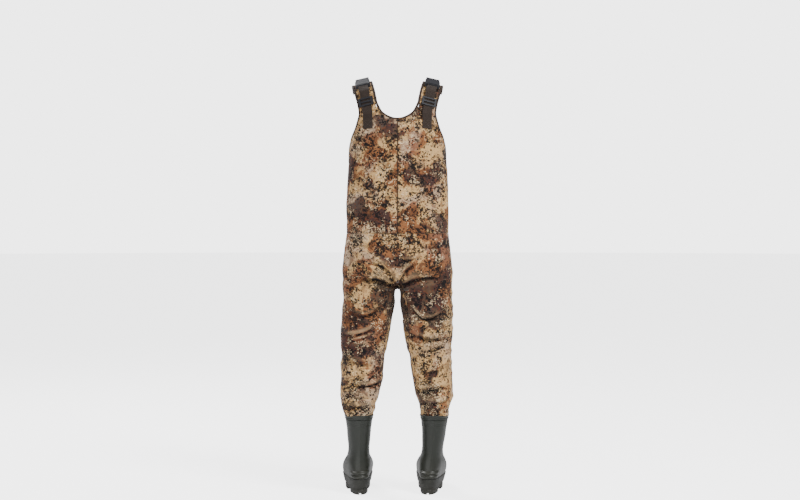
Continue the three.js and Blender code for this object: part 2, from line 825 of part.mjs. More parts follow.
// inserting half: cross bar with the webbing slot and a middle guide tongue
function bucklePlug() {
  const [front, half] = [buckle.length / 2, buckle.thickness / 2];
  const slotHalf = webbing.width / 2 + 0.8;
  const bar = roundedPlate(-26, 26, 12.5, front, -half + 0.7, half - 0.7, 4);
  const tongue = roundedPlate(-4, 4, -12, 16, -2.6, 2.6, 2);
  return cutAway(joined([bar, tongue]), [
    boxBetween(-slotHalf, slotHalf, front - 9, front + 1, -1.6, 1.6),
    boxBetween(-slotHalf, slotHalf, front - 7, front - 3, -1, half + 1),
  ]);
}

// springy side arm of the plug, whose shoulder sits in the socket's side window
function latchArm(hand) {
  const outline = new THREE.Shape([
    new THREE.Vector2(15.5, 11.4),
    new THREE.Vector2(15.5, -14),
    new THREE.Vector2(18, -16.2),
    new THREE.Vector2(24, -16.2),
    new THREE.Vector2(26.4, -13.5),
    new THREE.Vector2(21.6, -1.6),
    new THREE.Vector2(20.2, 3),
    new THREE.Vector2(20.2, 11.4),
  ]);
  const arm = new THREE.ExtrudeGeometry(outline, { depth: 6.4, bevelEnabled: false });
  arm.translate(0, 0, -3.2);
  if (hand > 0) return arm;
  const flipped = Array.from(arm.attributes.position.array, (v, i) => (i % 3 ? v : -v));
  return facingOut(flipped, [...flipped.keys()].slice(0, flipped.length / 3));
}

function addStrap(which) {
  const side = boots[which].side;
  addPiece(`${which}_back_webbing`, backWebbing(side), "webbing");
  addPiece(`${which}_front_webbing`, frontWebbing(side), "webbing");
  const run = sliderRun[1].clone().sub(sliderRun[0]);
  const middle = sliderRun[0].clone().addScaledVector(run, 0.5);
  const slider = strapFrame(middle, run.normalize(), hardwareRoll, side);
  addPiece(`${which}_slider`, sliderSolid(), "plastic", slider);
  const buckleGroup = strapFrame(buckle.at.clone(), buckle.pointing, buckleRoll, side);
  addPiece(`${which}_buckle_socket`, buckleSocket(), "plastic", buckleGroup);
  addPiece(`${which}_buckle_plug`, bucklePlug(), "plastic", buckleGroup);
  addPiece(`${which}_latch_outer`, latchArm(-side), "plastic", buckleGroup);
  addPiece(`${which}_latch_inner`, latchArm(side), "plastic", buckleGroup);
}

// ---- chest pocket, its flap and the ring tab ----

const pocket = { low: 1120, high: 1300, halfTop: 92, halfLow: 120, stand: 15, wall: 3 };
const pouch = { low: 1145, high: 1262, half: 72, stand: 12, wall: 2.4 };
const flap = { top: 1280, low: 1216, half: 78, thickness: 3 };

// outward distance that rises from nothing at an edge to full over a short way
function standing(toEdge, way) {
  return THREE.MathUtils.smoothstep(toEdge, 0, way);
}

// hand-warmer pocket: one sheet sewn down along its top and bottom, open at both sides
function handPocket() {
  const rows = [0, 0.04, 0.1, 0.2, 0.4, 0.6, 0.8, 0.9, 0.96, 1];
  const columns = 8;
  return sheetSolid(rows.length - 1, columns, (r, c, face) => {
    const v = rows[r];
    const z = THREE.MathUtils.lerp(pocket.low, pocket.high, v);
    const half = THREE.MathUtils.lerp(pocket.halfLow, pocket.halfTop, v);
    const lift = gap + 0.5 + pocket.stand * standing(Math.min(v, 1 - v), 0.12);
    return onGirth(half * ((2 * c) / columns - 1), z, false, -lift - (face ? 0 : pocket.wall));
  });
}

// storage pouch on the pocket's face: sewn at its sides and foot, open at the top
function storagePouch() {
  const rows = [0, 0.06, 0.14, 0.35, 0.6, 0.85, 1];
  const columns = [-1, -0.95, -0.88, -0.6, -0.3, 0, 0.3, 0.6, 0.88, 0.95, 1];
  const base = gap + 0.5 + pocket.stand + pocket.wall + 0.6;
  return sheetSolid(rows.length - 1, columns.length - 1, (r, c, face) => {
    const z = THREE.MathUtils.lerp(pouch.low, pouch.high, rows[r]);
    const toEdge = Math.min(rows[r], (1 - Math.abs(columns[c])) * 0.9);
    const lift = base + pouch.stand * standing(toEdge, 0.13);
    return onGirth(pouch.half * columns[c], z, false, -lift - (face ? 0 : pouch.wall));
  });
}

const pocketFace = gap + 0.5 + pocket.stand + pocket.wall + 0.6;
const flapLift = pocketFace + pouch.stand + pouch.wall + 3.2;

// sheet that follows the chest, from its rows of height and distance out, and half its width
function chestPatch(half, rows, thickness, columns = 6) {
  return sheetSolid(rows.length - 1, columns, (r, c, face) => {
    const [z, lift] = rows[r];
    return onGirth(half * ((2 * c) / columns - 1), z, false, -lift - (face ? 0 : thickness));
  });
}

function closureStrip(lift, thickness) {
  const rows = [1226, 1246].map((z) => [z, lift]);
  return chestPatch((flap.half * 2) / 3, rows, thickness, 4);
}

function addPockets() {
  addPiece("hand_warmer_pocket", handPocket(), "camoDark");
  addPiece("storage_pouch", storagePouch(), "camoLight");
  const profile = [
    [flap.low, flapLift],
    [1258, flapLift],
    [1266, flapLift - 1],
    [1273, flapLift - 7],
    [flap.top, pocketFace],
  ];
  addPiece("pouch_flap", chestPatch(flap.half, profile, flap.thickness), "camoDark");
  addPiece("flap_hook_strip", closureStrip(flapLift - gap - 0.9, 0.9), "hook");
  addPiece("pouch_loop_strip", closureStrip(flapLift - 2 * gap - 1.7, 0.6), "hook");
}

// ring of 4 mm rod hanging by its straight bar from a folded webbing tab
const ring = { rod: 2, halfBar: 14, drop: 24, at: new THREE.Vector3(0, -129, 1352) };

function ringSolid() {
  const { halfBar, drop } = ring;
  const shoulder = 3; // how far the bow starts below the bar
  const points = [-1, 0, 1].map((s) => new THREE.Vector3(s * (halfBar - 2), 0, 0));
  for (const turn of spread(0, Math.PI, 10)) {
    const z = -shoulder - (drop - shoulder) * Math.sin(turn);
    points.push(new THREE.Vector3(halfBar * Math.cos(turn), 0, z));
  }
  return closedTube(points, ring.rod, 8);
}

// round rod along a closed flat loop of points in the XZ plane
function closedTube(points, radius, sides) {
  const count = points.length;
  return sheetLoop(count, sides, (i, k) => {
    const along = points[(i + 1) % count].clone().sub(points[(i + count - 1) % count]).normalize();
    const inPlane = new THREE.Vector3(along.z, 0, -along.x);
    const turn = (2 * Math.PI * k) / sides;
    return points[i]
      .clone()
      .addScaledVector(inPlane, radius * Math.cos(turn))
      .add(new THREE.Vector3(0, radius * Math.sin(turn), 0));
  });
}

// closed ring surface: both directions wrap
function sheetLoop(rows, columns, place) {
  const positions = [];
  const index = [];
  for (let r = 0; r < rows; r++) {
    for (let c = 0; c < columns; c++) positions.push(...place(r, c).toArray());
  }
  const at = (r, c) => (r % rows) * columns + (c % columns);
  for (let r = 0; r < rows; r++) {
    for (let c = 0; c < columns; c++) {
      index.push(at(r, c), at(r, c + 1), at(r + 1, c + 1), at(r, c), at(r + 1, c + 1), at(r + 1, c));
    }
  }
  return facingOut(positions, index);
}

// webbing folded round the ring's bar, its two tails flat against the bib
function tabSolid() {
  const [inner, outer, height] = [ring.rod + 0.5, ring.rod + 2.2, 26];
  const eye = new THREE.Shape();
  eye.absarc(0, 0, outer, Math.PI, 2 * Math.PI);
  eye.lineTo(outer, 2);
  eye.lineTo(-3.2, height);
  eye.lineTo(-6.4, height);
  eye.lineTo(-outer, 4);
  const hole = new THREE.Path();
  hole.absarc(0, 0, inner, 0, 2 * Math.PI, true);
  eye.holes.push(hole);
  const depth = 2 * ring.halfBar - 12;
  const tab = new THREE.ExtrudeGeometry(eye, { depth, bevelEnabled: false, curveSegments: 8 });
  return tab.translate(0, 0, -depth / 2).applyMatrix4(
    new THREE.Matrix4().makeBasis(
      new THREE.Vector3(0, -1, 0),
      new THREE.Vector3(0, 0, 1),
      new THREE.Vector3(-1, 0, 0),
    ),
  );
}

function addRingTab() {
  const group = new THREE.Group();
  group.position.copy(ring.at);
  waders.add(group);
  addPiece("ring_tab", tabSolid(), "webbing", group);
  addPiece("d_ring", ringSolid(), "steel", group);
}

addPiece("back_panel_left", backPanel(1), "camoLight");
addPiece("back_panel_right", backPanel(-1), "camoDark");
addPiece("bib_panel", bibPanel(), "camoLight");
addPiece("seat_panel", hipPanel(true), "camoDark");
addPiece("hip_front_panel", hipPanel(false), "camoLight");
addPiece("crotch_gusset", crotchGusset(), "camoDark");
addPiece("neck_binding", neckBinding(), "binding");
addPiece("bib_top_binding", bibTopBinding(), "binding");
for (const [which, boot] of Object.entries(boots)) {
  addPiece(`${which}_armhole_binding`, armholeBinding(boot.side), "binding");
  addPiece(`${which}_shoulder_pad`, shoulderPad(boot.side), "camoLight");
}
addLegs();
addBoots();
addStrap("left");
addStrap("right");
addPockets();
addRingTab();

// origin on the floor, under the middle of the whole
const whole = new THREE.Box3().setFromObject(waders, true);
waders.position.set((whole.min.x + whole.max.x) / -2, (whole.min.y + whole.max.y) / -2, 0);

export default waders;
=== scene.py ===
# Chest waders standing on their boots: sewn neoprene body, moulded rubber boots, padded straps.
# The drawing's tables are in millimetres about the garment's own axis; toRow puts them in the frame.
import math

import bmesh
import bpy
import numpy as np
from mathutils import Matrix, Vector


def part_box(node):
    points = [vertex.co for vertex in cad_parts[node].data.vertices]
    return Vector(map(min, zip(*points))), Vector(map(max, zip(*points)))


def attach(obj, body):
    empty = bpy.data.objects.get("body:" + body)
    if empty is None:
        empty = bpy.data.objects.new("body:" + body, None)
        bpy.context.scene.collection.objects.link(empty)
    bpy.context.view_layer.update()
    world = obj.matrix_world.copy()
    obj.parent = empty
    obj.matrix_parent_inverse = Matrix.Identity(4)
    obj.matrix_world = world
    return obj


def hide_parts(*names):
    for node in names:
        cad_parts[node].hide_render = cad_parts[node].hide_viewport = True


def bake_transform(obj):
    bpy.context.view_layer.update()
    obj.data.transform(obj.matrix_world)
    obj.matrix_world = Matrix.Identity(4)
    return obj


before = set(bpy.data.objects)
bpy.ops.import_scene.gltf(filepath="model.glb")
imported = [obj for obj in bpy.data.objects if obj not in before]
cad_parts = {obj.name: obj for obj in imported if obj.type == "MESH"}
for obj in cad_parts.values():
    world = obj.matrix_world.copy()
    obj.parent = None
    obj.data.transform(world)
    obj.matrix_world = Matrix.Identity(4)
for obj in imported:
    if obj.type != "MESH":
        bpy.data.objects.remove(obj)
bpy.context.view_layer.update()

mm = 0.001
ringBox = [np.array(corner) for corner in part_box("d_ring")]
axisPoint = (ringBox[0] + ringBox[1]) / 2 * [1, 1, 0] + [0, 0.129, 0]  # the ring hangs 129 mm in front


# camera, light and floor

camera = {"place": (-0.0097, 5.84, 1.06), "target": (-0.0117, 0.0, 0.934), "lens": 67.6}
lights = {
    "key": {"at": (-2.2, 2.1, 4.5), "size": 1.2, "power": 250},
    "fill": {"at": (2.6, 3.2, 2.2), "size": 2.8, "power": 56},
    "low": {"at": (0.4, 3.6, 0.5), "size": 2.2, "power": 26},
    "front": {"at": (2.2, -2.6, 4.0), "size": 1.3, "power": 190},
}
backdrop = {"ambient": 0.34, "glow": 4.0}  # glow: how white the studio paper looks to the camera


def aimed(item, target):
    item.rotation_euler = (Vector(target) - item.location).to_track_quat("-Z", "Y").to_euler()


def makeCamera():
    lens = bpy.data.cameras.new("view")
    lens.lens = camera["lens"]
    lens.sensor_width = 36
    eye = bpy.data.objects.new("view", lens)
    eye.location = camera["place"]
    bpy.context.collection.objects.link(eye)
    aimed(eye, camera["target"])
    bpy.context.scene.camera = eye


def makeLights():
    for name, spot in lights.items():
        lamp = bpy.data.lights.new(name, "AREA")
        lamp.energy = spot["power"]
        lamp.size = spot["size"]
        holder = bpy.data.objects.new(name, lamp)
        holder.location = spot["at"]
        bpy.context.collection.objects.link(holder)
        aimed(holder, (0, 0, 0.8))
    world = bpy.data.worlds.new("studio")
    bpy.context.scene.world = world
    world.use_nodes = True
    tree = world.node_tree
    around = tree.nodes["Background"]
    around.inputs["Color"].default_value = (0.96, 0.97, 1.0, 1)
    around.inputs["Strength"].default_value = backdrop["ambient"]
    paper = build(tree, "ShaderNodeBackground", None, Color=(1, 1, 1, 1), Strength=backdrop["glow"])
    seen = build(tree, "ShaderNodeLightPath").outputs["Is Camera Ray"]
    both = build(tree, "ShaderNodeMixShader", None, i0=seen, i1=around.outputs[0], i2=paper.outputs[0])
    tree.links.new(both.outputs[0], tree.nodes["World Output"].inputs["Surface"])


# node helpers: build(tree, type, settings, inputs) returns the new node

def build(tree, kind, settings=None, **inputs):
    node = tree.nodes.new(kind)
    for key, value in (settings or {}).items():
        setattr(node, key, value)
    for key, value in inputs.items():
        feed(tree, node.inputs[int(key[1:]) if key[1:].isdigit() else key.replace("_", " ")], value)
    return node


def feed(tree, socket, value):
    if isinstance(value, bpy.types.NodeSocket):
        tree.links.new(value, socket)
    elif value is not None:
        socket.default_value = value


def shaderGroup(name, inputs, outputs):
    group = bpy.data.node_groups.new(name, "ShaderNodeTree")
    for label, kind, value in inputs:
        socket = group.interface.new_socket(name=label, in_out="INPUT", socket_type=kind)
        if value is not None:
            socket.default_value = value
    for label, kind in outputs:
        group.interface.new_socket(name=label, in_out="OUTPUT", socket_type=kind)
    return group, group.nodes.new("NodeGroupInput").outputs, group.nodes.new("NodeGroupOutput").inputs


def smoothMask(tree, value, low, high):  # 0 below low, 1 above high
    return build(tree, "ShaderNodeMapRange", {"interpolation_type": "SMOOTHSTEP"},
                 Value=value, From_Min=low, From_Max=high).outputs[0]


def arithmetic(tree, operation, first, second=None):
    return build(tree, "ShaderNodeMath", {"operation": operation}, i0=first, i1=second).outputs[0]


def noiseOf(tree, place, scale, detail=2.0, rough=0.5, warp=0.0):
    return build(tree, "ShaderNodeTexNoise", None, Vector=place, Scale=scale, Detail=detail,
                 Roughness=rough, Distortion=warp).outputs["Fac"]


def moved(tree, place, offset):
    return build(tree, "ShaderNodeVectorMath", {"operation": "ADD"}, i0=place, i1=offset).outputs[0]


def mixColour(tree, mask, first, second, blend="MIX"):
    return build(tree, "ShaderNodeMix", {"data_type": "RGBA", "blend_type": blend},
                 i0=mask, i6=first, i7=second).outputs[2]


def tone(red, green, blue):  # screen colour, 0 to 255, as the shader wants it
    channels = [v / 255 for v in (red, green, blue)]
    return [v / 12.92 if v <= 0.04045 else ((v + 0.055) / 1.055) ** 2.4 for v in channels] + [1]


makeCamera()
makeLights()
print("camera and lights made")


# finishes

# tone(214, 180, 136) is the painted highlight on fold ridges; the other tones are print colours
camoPrint = {
    "sand": tone(204, 164, 110), "pale": tone(182, 158, 136), "rust": tone(116, 58, 28),
    "shade": tone(44, 31, 35), "bark": tone(76, 48, 30), "ink": tone(9, 6, 7),
    "cream": tone(240, 214, 172), "worn_and_highlight": tone(214, 180, 136), "patchScale": 7.0,
    "cellScale": 155.0, "ragged": 0.2,
}
rubberLook = {"colour": tone(33, 36, 30), "worn_and_highlight": tone(50, 53, 45), "rough": 0.42}
soleLook = {"colour": tone(29, 31, 27), "worn_and_highlight": tone(48, 49, 43), "rough": 0.6}
webbingLook = {"colour": tone(52, 38, 28), "shade": tone(34, 24, 18), "rib": 2.2}
tapeLook = {"colour": tone(58, 39, 26), "shade": tone(38, 26, 18)}
plasticLook = {"colour": tone(30, 30, 35), "worn_and_highlight": tone(50, 50, 56)}


def cellsGroup():
    group, given, result = shaderGroup("speckles", [
        ("Place", "NodeSocketVector", None), ("Scale", "NodeSocketFloat", 150.0),
        ("Share", "NodeSocketFloat", 0.3), ("Reach", "NodeSocketFloat", 0.46),
    ], [("Mask", "NodeSocketFloat")])
    cells = build(group, "ShaderNodeTexVoronoi", {"distance": "CHEBYCHEV"},
                  Vector=given["Place"], Scale=given["Scale"], Randomness=0.8)
    draw = build(group, "ShaderNodeSeparateColor", None, Color=cells.outputs["Color"]).outputs["Red"]
    chosen = arithmetic(group, "LESS_THAN", draw, given["Share"])
    near = arithmetic(group, "LESS_THAN", cells.outputs["Distance"], given["Reach"])
    feed(group, result["Mask"], arithmetic(group, "MULTIPLY", chosen, near))
    return group


def camoGroup():
    group, given, result = shaderGroup("camoPrint", [
        ("Place", "NodeSocketVector", None), ("Shift", "NodeSocketVector", None),
    ], [("Color", "NodeSocketColor"), ("Dark", "NodeSocketFloat")])
    speckles = cellsGroup()
    base = moved(group, given["Place"], given["Shift"])
    wobble = build(group, "ShaderNodeTexNoise", None, Vector=base, Scale=13.0, Detail=3.0)
    centred = build(group, "ShaderNodeVectorMath", {"operation": "SUBTRACT"},
                    i0=wobble.outputs["Color"], i1=(0.5, 0.5, 0.5)).outputs[0]
    bent = build(group, "ShaderNodeVectorMath", {"operation": "MULTIPLY_ADD"},
                 i0=centred, i1=(0.11, 0.11, 0.11), i2=base).outputs[0]
    scale = camoPrint["patchScale"]

    ragged = noiseOf(group, base, 62.0, 4.0, 0.7)

    def patch(offset, size, low, high, detail=3.0):
        soft = noiseOf(group, moved(group, bent, offset), size, detail, 0.55)
        torn = arithmetic(group, "MULTIPLY_ADD", ragged, camoPrint["ragged"])
        feed(group, torn.node.inputs[2], soft)
        shift = camoPrint["ragged"] / 2
        return smoothMask(group, torn, low + shift, high + shift)

    def specks(offset, size, share, reach=0.46):
        node = group.nodes.new("ShaderNodeGroup")
        node.node_tree = speckles
        for key, value in (("Place", moved(group, base, offset)), ("Scale", size),
                           ("Share", share), ("Reach", reach)):
            feed(group, node.inputs[key], value)
        return node.outputs["Mask"]

    def share(mask, factor):
        return arithmetic(group, "MULTIPLY", mask, factor)

    pale = patch((3.1, 0.7, 5.2), scale * 1.15, 0.50, 0.64, 2.0)
    rust = patch((7.7, 2.9, 1.3), scale * 1.35, 0.475, 0.56)
    shade = patch((1.9, 8.3, 4.4), scale, 0.515, 0.575)
    bark = patch((5.5, 4.1, 9.2), scale * 4.2, 0.52, 0.60, 2.0)
    colour = mixColour(group, share(pale, 0.75), camoPrint["sand"], camoPrint["pale"])
    colour = mixColour(group, share(rust, 0.82), colour, camoPrint["rust"])
    colour = mixColour(group, share(shade, 0.88), colour, camoPrint["shade"])
    colour = mixColour(group, share(bark, 0.55), colour, camoPrint["bark"])
    crowd = patch((2.2, 6.6, 3.3), scale * 2.6, 0.40, 0.62, 2.0)
    inkShare = arithmetic(group, "MULTIPLY_ADD", crowd, 0.50)
    inkShare.node.inputs[2].default_value = 0.12
    ink = specks((0.0, 0.0, 0.0), camoPrint["cellScale"], inkShare, 0.5)
    fine = specks((0.41, 0.13, 0.77), camoPrint["cellScale"] * 1.7, share(crowd, 0.5))
    blots = specks((0.83, 0.57, 0.21), camoPrint["cellScale"] * 0.6, share(crowd, 0.26), 0.5)
    mottle = specks((0.37, 0.49, 0.93), camoPrint["cellScale"] * 1.3, 0.22, 0.44)
    thin = patch((8.8, 1.1, 6.1), scale * 2.6, 0.50, 0.68, 2.0)
    light = specks((0.23, 0.91, 0.37), camoPrint["cellScale"] * 1.1, share(thin, 0.42), 0.42)
    small = specks((0.67, 0.29, 0.11), camoPrint["cellScale"] * 1.9, share(thin, 0.3), 0.42)
    colour = mixColour(group, share(mottle, 0.6), colour, camoPrint["rust"])
    colour = mixColour(group, share(light, 0.6), colour, camoPrint["cream"])
    colour = mixColour(group, share(blots, 0.9), colour, camoPrint["ink"])
    colour = mixColour(group, share(ink, 0.92), colour, camoPrint["ink"])
    colour = mixColour(group, share(fine, 0.85), colour, camoPrint["ink"])
    colour = mixColour(group, share(small, 0.6), colour, camoPrint["cream"])
    feed(group, result["Color"], colour)
    feed(group, result["Dark"], arithmetic(group, "MAXIMUM", ink, shade))
    return group


def knitGroup():
    group, given, result = shaderGroup("knitFace", [
        ("Place", "NodeSocketVector", None), ("Pitch", "NodeSocketFloat", 850.0),
    ], [("Height", "NodeSocketFloat")])
    loops = build(group, "ShaderNodeTexVoronoi", None, Vector=given["Place"], Scale=given["Pitch"],
                  Randomness=0.25)
    slow = noiseOf(group, given["Place"], 60.0, 3.0)
    mixed = arithmetic(group, "MULTIPLY_ADD", loops.outputs["Distance"], -0.6)
    feed(group, mixed.node.inputs[2], slow)
    feed(group, result["Height"], mixed)
    return group


def weaveGroup():  # ribs along the webbing and picks across it, from the piece's own weave map
    group, given, result = shaderGroup("weave", [
        ("Run", "NodeSocketVector", None), ("Rib", "NodeSocketFloat", 2.2),
    ], [("Height", "NodeSocketFloat"), ("Shade", "NodeSocketFloat")])
    parts = build(group, "ShaderNodeSeparateXYZ", None, Vector=given["Run"]).outputs

    def wave(value, pitch, shift=0.0):
        turns = arithmetic(group, "DIVIDE", value, pitch)
        phase = arithmetic(group, "MULTIPLY_ADD", turns, 2 * math.pi)
        phase.node.inputs[2].default_value = shift
        return arithmetic(group, "SINE", phase)

    rib = wave(parts[0], given["Rib"])
    pick = wave(parts[1], 1.3)
    crossed = arithmetic(group, "MULTIPLY", rib, pick)
    height = arithmetic(group, "MULTIPLY_ADD", crossed, 0.5)
    feed(group, height.node.inputs[2], rib)
    feed(group, result["Height"], height)
    feed(group, result["Shade"], smoothMask(group, height, -0.9, 0.7))
    return group


def wearGroup():  # scuffs and dust, more of them low down
    group, given, result = shaderGroup("wear", [
        ("Place", "NodeSocketVector", None),
        ("Low", "NodeSocketFloat", 0.0), ("High", "NodeSocketFloat", 0.2),
        ("Scale", "NodeSocketFloat", 40.0),
    ], [("Scuff", "NodeSocketFloat"), ("Dust", "NodeSocketFloat"), ("Grain", "NodeSocketFloat")])
    height = build(group, "ShaderNodeSeparateXYZ", None, Vector=given["Place"]).outputs[2]
    near = build(group, "ShaderNodeMapRange", None, Value=height, From_Min=given["Low"],
                 From_Max=given["High"], To_Min=1.0, To_Max=0.0).outputs[0]
    marks = smoothMask(group, noiseOf(group, given["Place"], given["Scale"], 6.0, 0.7, 0.6), 0.56, 0.78)
    cloud = noiseOf(group, given["Place"], 14.0, 4.0, 0.6)
    feed(group, result["Scuff"], marks)
    feed(group, result["Dust"], arithmetic(group, "MULTIPLY", near, cloud))
    feed(group, result["Grain"], noiseOf(group, given["Place"], 1400.0, 2.0))
    return group


effects = {"camo": camoGroup(), "knit": knitGroup(), "weave": weaveGroup(), "wear": wearGroup()}


def placed(tree, effect, **values):
    node = tree.nodes.new("ShaderNodeGroup")
    node.node_tree = effects[effect]
    for key, value in values.items():
        feed(tree, node.inputs[key], value)
    return node.outputs


def newFinish(name, roughness, **constants):
    material = bpy.data.materials.new(name)
    material.use_nodes = True
    tree = material.node_tree
    shader = tree.nodes["Principled BSDF"]
    shader.inputs["Roughness"].default_value = roughness
    for key, value in constants.items():
        shader.inputs[key.replace("_", " ")].default_value = value
    place = tree.nodes.new("ShaderNodeTexCoord").outputs["Object"]
    return material, tree, shader, place


def bumped(tree, shader, height, strength, distance):
    node = build(tree, "ShaderNodeBump", None, Height=height)
    node.inputs["Strength"].default_value = strength
    node.inputs["Distance"].default_value = distance
    tree.links.new(node.outputs[0], shader.inputs["Normal"])


def camoCloth(name, shift):
    material, tree, shader, place = newFinish(name, 0.86, Sheen_Weight=0.05, Sheen_Roughness=0.5,
                                              Specular_IOR_Level=0.25)
    colour = placed(tree, "camo", Place=place, Shift=shift)["Color"]
    fold = build(tree, "ShaderNodeAttribute", {"attribute_name": "crease"}).outputs["Fac"]
    # painted highlight: the ridges of the folds are lightened toward a pale tone
    ridge = arithmetic(tree, "MULTIPLY", smoothMask(tree, fold, 0.1, 1.4), 0.35)
    colour = mixColour(tree, ridge, colour, camoPrint["worn_and_highlight"])
    # painted shade: the folds, the seam grooves and the pocket and pad rims are darkened toward the ink tone
    inFold = arithmetic(tree, "SUBTRACT", 1.0, smoothMask(tree, fold, -1.2, -0.05))
    colour = mixColour(tree, arithmetic(tree, "MULTIPLY", inFold, 0.8), colour, camoPrint["ink"])
    tree.links.new(colour, shader.inputs["Base Color"])
    bumped(tree, shader, placed(tree, "knit", Place=place)["Height"], 0.35, 0.0006)
    return material


def rubberFinish(name, look, low, high):
    material, tree, shader, place = newFinish(name, look["rough"], Specular_IOR_Level=0.45)
    wear = placed(tree, "wear", Place=place, Low=low, High=high)
    dusty = arithmetic(tree, "MULTIPLY", wear["Dust"], 0.35)
    colour = mixColour(tree, arithmetic(tree, "MULTIPLY", wear["Scuff"], 0.35), look["colour"], look["worn_and_highlight"])
    tree.links.new(mixColour(tree, dusty, colour, tone(84, 78, 66)), shader.inputs["Base Color"])
    rough = arithmetic(tree, "MULTIPLY_ADD", wear["Scuff"], 0.22)
    rough.node.inputs[2].default_value = look["rough"]
    tree.links.new(rough, shader.inputs["Roughness"])
    bumped(tree, shader, wear["Grain"], 0.12, 0.0004)
    return material


def wovenFinish(name, look, rib, strength=0.8):
    material, tree, shader, place = newFinish(name, 0.82, Sheen_Weight=0.15, Specular_IOR_Level=0.3)
    run = build(tree, "ShaderNodeUVMap", {"uv_map": "weave"}).outputs[0]
    weave = placed(tree, "weave", Run=run, Rib=rib)
    fade = noiseOf(tree, place, 35.0, 3.0)
    colour = mixColour(tree, weave["Shade"], look["shade"], look["colour"])
    colour = mixColour(tree, arithmetic(tree, "MULTIPLY", fade, 0.25), colour, look["shade"])
    tree.links.new(colour, shader.inputs["Base Color"])
    bumped(tree, shader, weave["Height"], strength, 0.0004)
    return material


def plasticFinish(name, look):
    material, tree, shader, place = newFinish(name, 0.56, Specular_IOR_Level=0.35)
    wear = placed(tree, "wear", Place=place, Low=0.0, High=0.01, Scale=90.0)
    colour = mixColour(tree, arithmetic(tree, "MULTIPLY", wear["Scuff"], 0.4), look["colour"], look["worn_and_highlight"])
    tree.links.new(colour, shader.inputs["Base Color"])
    rough = arithmetic(tree, "MULTIPLY_ADD", wear["Scuff"], 0.2)
    rough.node.inputs[2].default_value = 0.56
    tree.links.new(rough, shader.inputs["Roughness"])
    bumped(tree, shader, wear["Grain"], 0.25, 0.0003)
    return material


def clothFinish(name, colour, shadeColour, roughness=0.92):
    material, tree, shader, place = newFinish(name, roughness, Sheen_Weight=0.2)
    cloud = noiseOf(tree, place, 90.0, 4.0)
    tree.links.new(mixColour(tree, cloud, colour, shadeColour), shader.inputs["Base Color"])
    bumped(tree, shader, placed(tree, "knit", Place=place, Pitch=1100.0)["Height"], 0.5, 0.0005)
    return material


def steelFinish(name):
    material, tree, shader, place = newFinish(name, 0.32, Metallic=1.0)
    wear = placed(tree, "wear", Place=place, Low=0.0, High=0.01, Scale=160.0)
    colour = mixColour(tree, wear["Scuff"], tone(128, 129, 131), tone(88, 88, 90))
    tree.links.new(colour, shader.inputs["Base Color"])
    rough = arithmetic(tree, "MULTIPLY_ADD", wear["Scuff"], 0.25)
    rough.node.inputs[2].default_value = 0.28
    tree.links.new(rough, shader.inputs["Roughness"])
    return material


finishes = {
    "bootRubber": rubberFinish("bootRubber", rubberLook, 0.0, 0.16),
    "soleRubber": rubberFinish("soleRubber", soleLook, 0.0, 0.10),
    "webbing": wovenFinish("webbing", webbingLook, webbingLook["rib"]),
    "tape": wovenFinish("bindingTape", tapeLook, 1.1, 0.5),
    "plastic": plasticFinish("bucklePlastic", plasticLook),
    "steel": steelFinish("steel"),
    "lining": clothFinish("bootLining", tone(46, 41, 38), tone(32, 28, 26)),
    "inner": clothFinish("innerKnit", tone(64, 50, 38), tone(48, 37, 28)),
    "hook": clothFinish("hookTape", tone(44, 38, 34), tone(28, 24, 22), 0.95),
    "thread": clothFinish("thread", tone(92, 72, 54), tone(70, 54, 40), 0.7),
}
print("finishes made:", len(finishes))


# curves and surfaces of the drawing, in millimetres

def sectionValue(table, column, z):
    heights = [row[0] for row in table]
    i = min(max(int(np.searchsorted(heights, z, side="right")) - 1, 0), len(table) - 2)

    def slope(k):
        low, high = table[max(0, k - 1)], table[min(len(table) - 1, k + 1)]
        return (high[column] - low[column]) / (high[0] - low[0])

    low, high = table[i], table[i + 1]
    span = high[0] - low[0]
    t = min(max((z - low[0]) / span, 0), 1)
    bend = t * t * (3 - 2 * t)
    return (low[column] * (1 - bend) + high[column] * bend
            + span * slope(i) * t * (1 - t) ** 2 - span * slope(i + 1) * t * t * (1 - t))


def smoothStep(value, low, high):
    t = np.clip((np.asarray(value, float) - low) / (high - low), 0, 1)
    return t * t * (3 - 2 * t)


def signedPower(value, power):
    return np.sign(value) * np.abs(value) ** power


def runLengths(points):
    return np.concatenate([[0], np.cumsum(np.linalg.norm(np.diff(points, axis=0), axis=1))])


def alongLine(points, wanted):  # points of a polyline at the wanted lengths
    lengths = runLengths(points)
    return np.stack([np.interp(wanted, lengths, points[:, k]) for k in range(points.shape[1])], -1)


def evenly(points, count):
    return alongLine(points, np.linspace(0, runLengths(points)[-1], count))


def splinePoints(points, perSpan=24):  # centripetal curve through the points
    points = [np.asarray(p, float) for p in points]
    ends = [2 * points[0] - points[1], *points, 2 * points[-1] - points[-2]]
    out = []
    for i in range(len(points) - 1):
        p0, p1, p2, p3 = ends[i:i + 4]
        d = [max(np.linalg.norm(b - a) ** 0.5, 1e-4) for a, b in ((p0, p1), (p1, p2), (p2, p3))]
        m1 = ((p1 - p0) / d[0] - (p2 - p0) / (d[0] + d[1]) + (p2 - p1) / d[1]) * d[1]
        m2 = ((p2 - p1) / d[1] - (p3 - p1) / (d[1] + d[2]) + (p3 - p2) / d[2]) * d[1]
        for t in np.linspace(0, 1, perSpan, endpoint=False):
            out.append((2 * t**3 - 3 * t**2 + 1) * p1 + (t**3 - 2 * t**2 + t) * m1
                       + (3 * t**2 - 2 * t**3) * p2 + (t**3 - t**2) * m2)
    out.append(points[-1])
    return np.array(out)


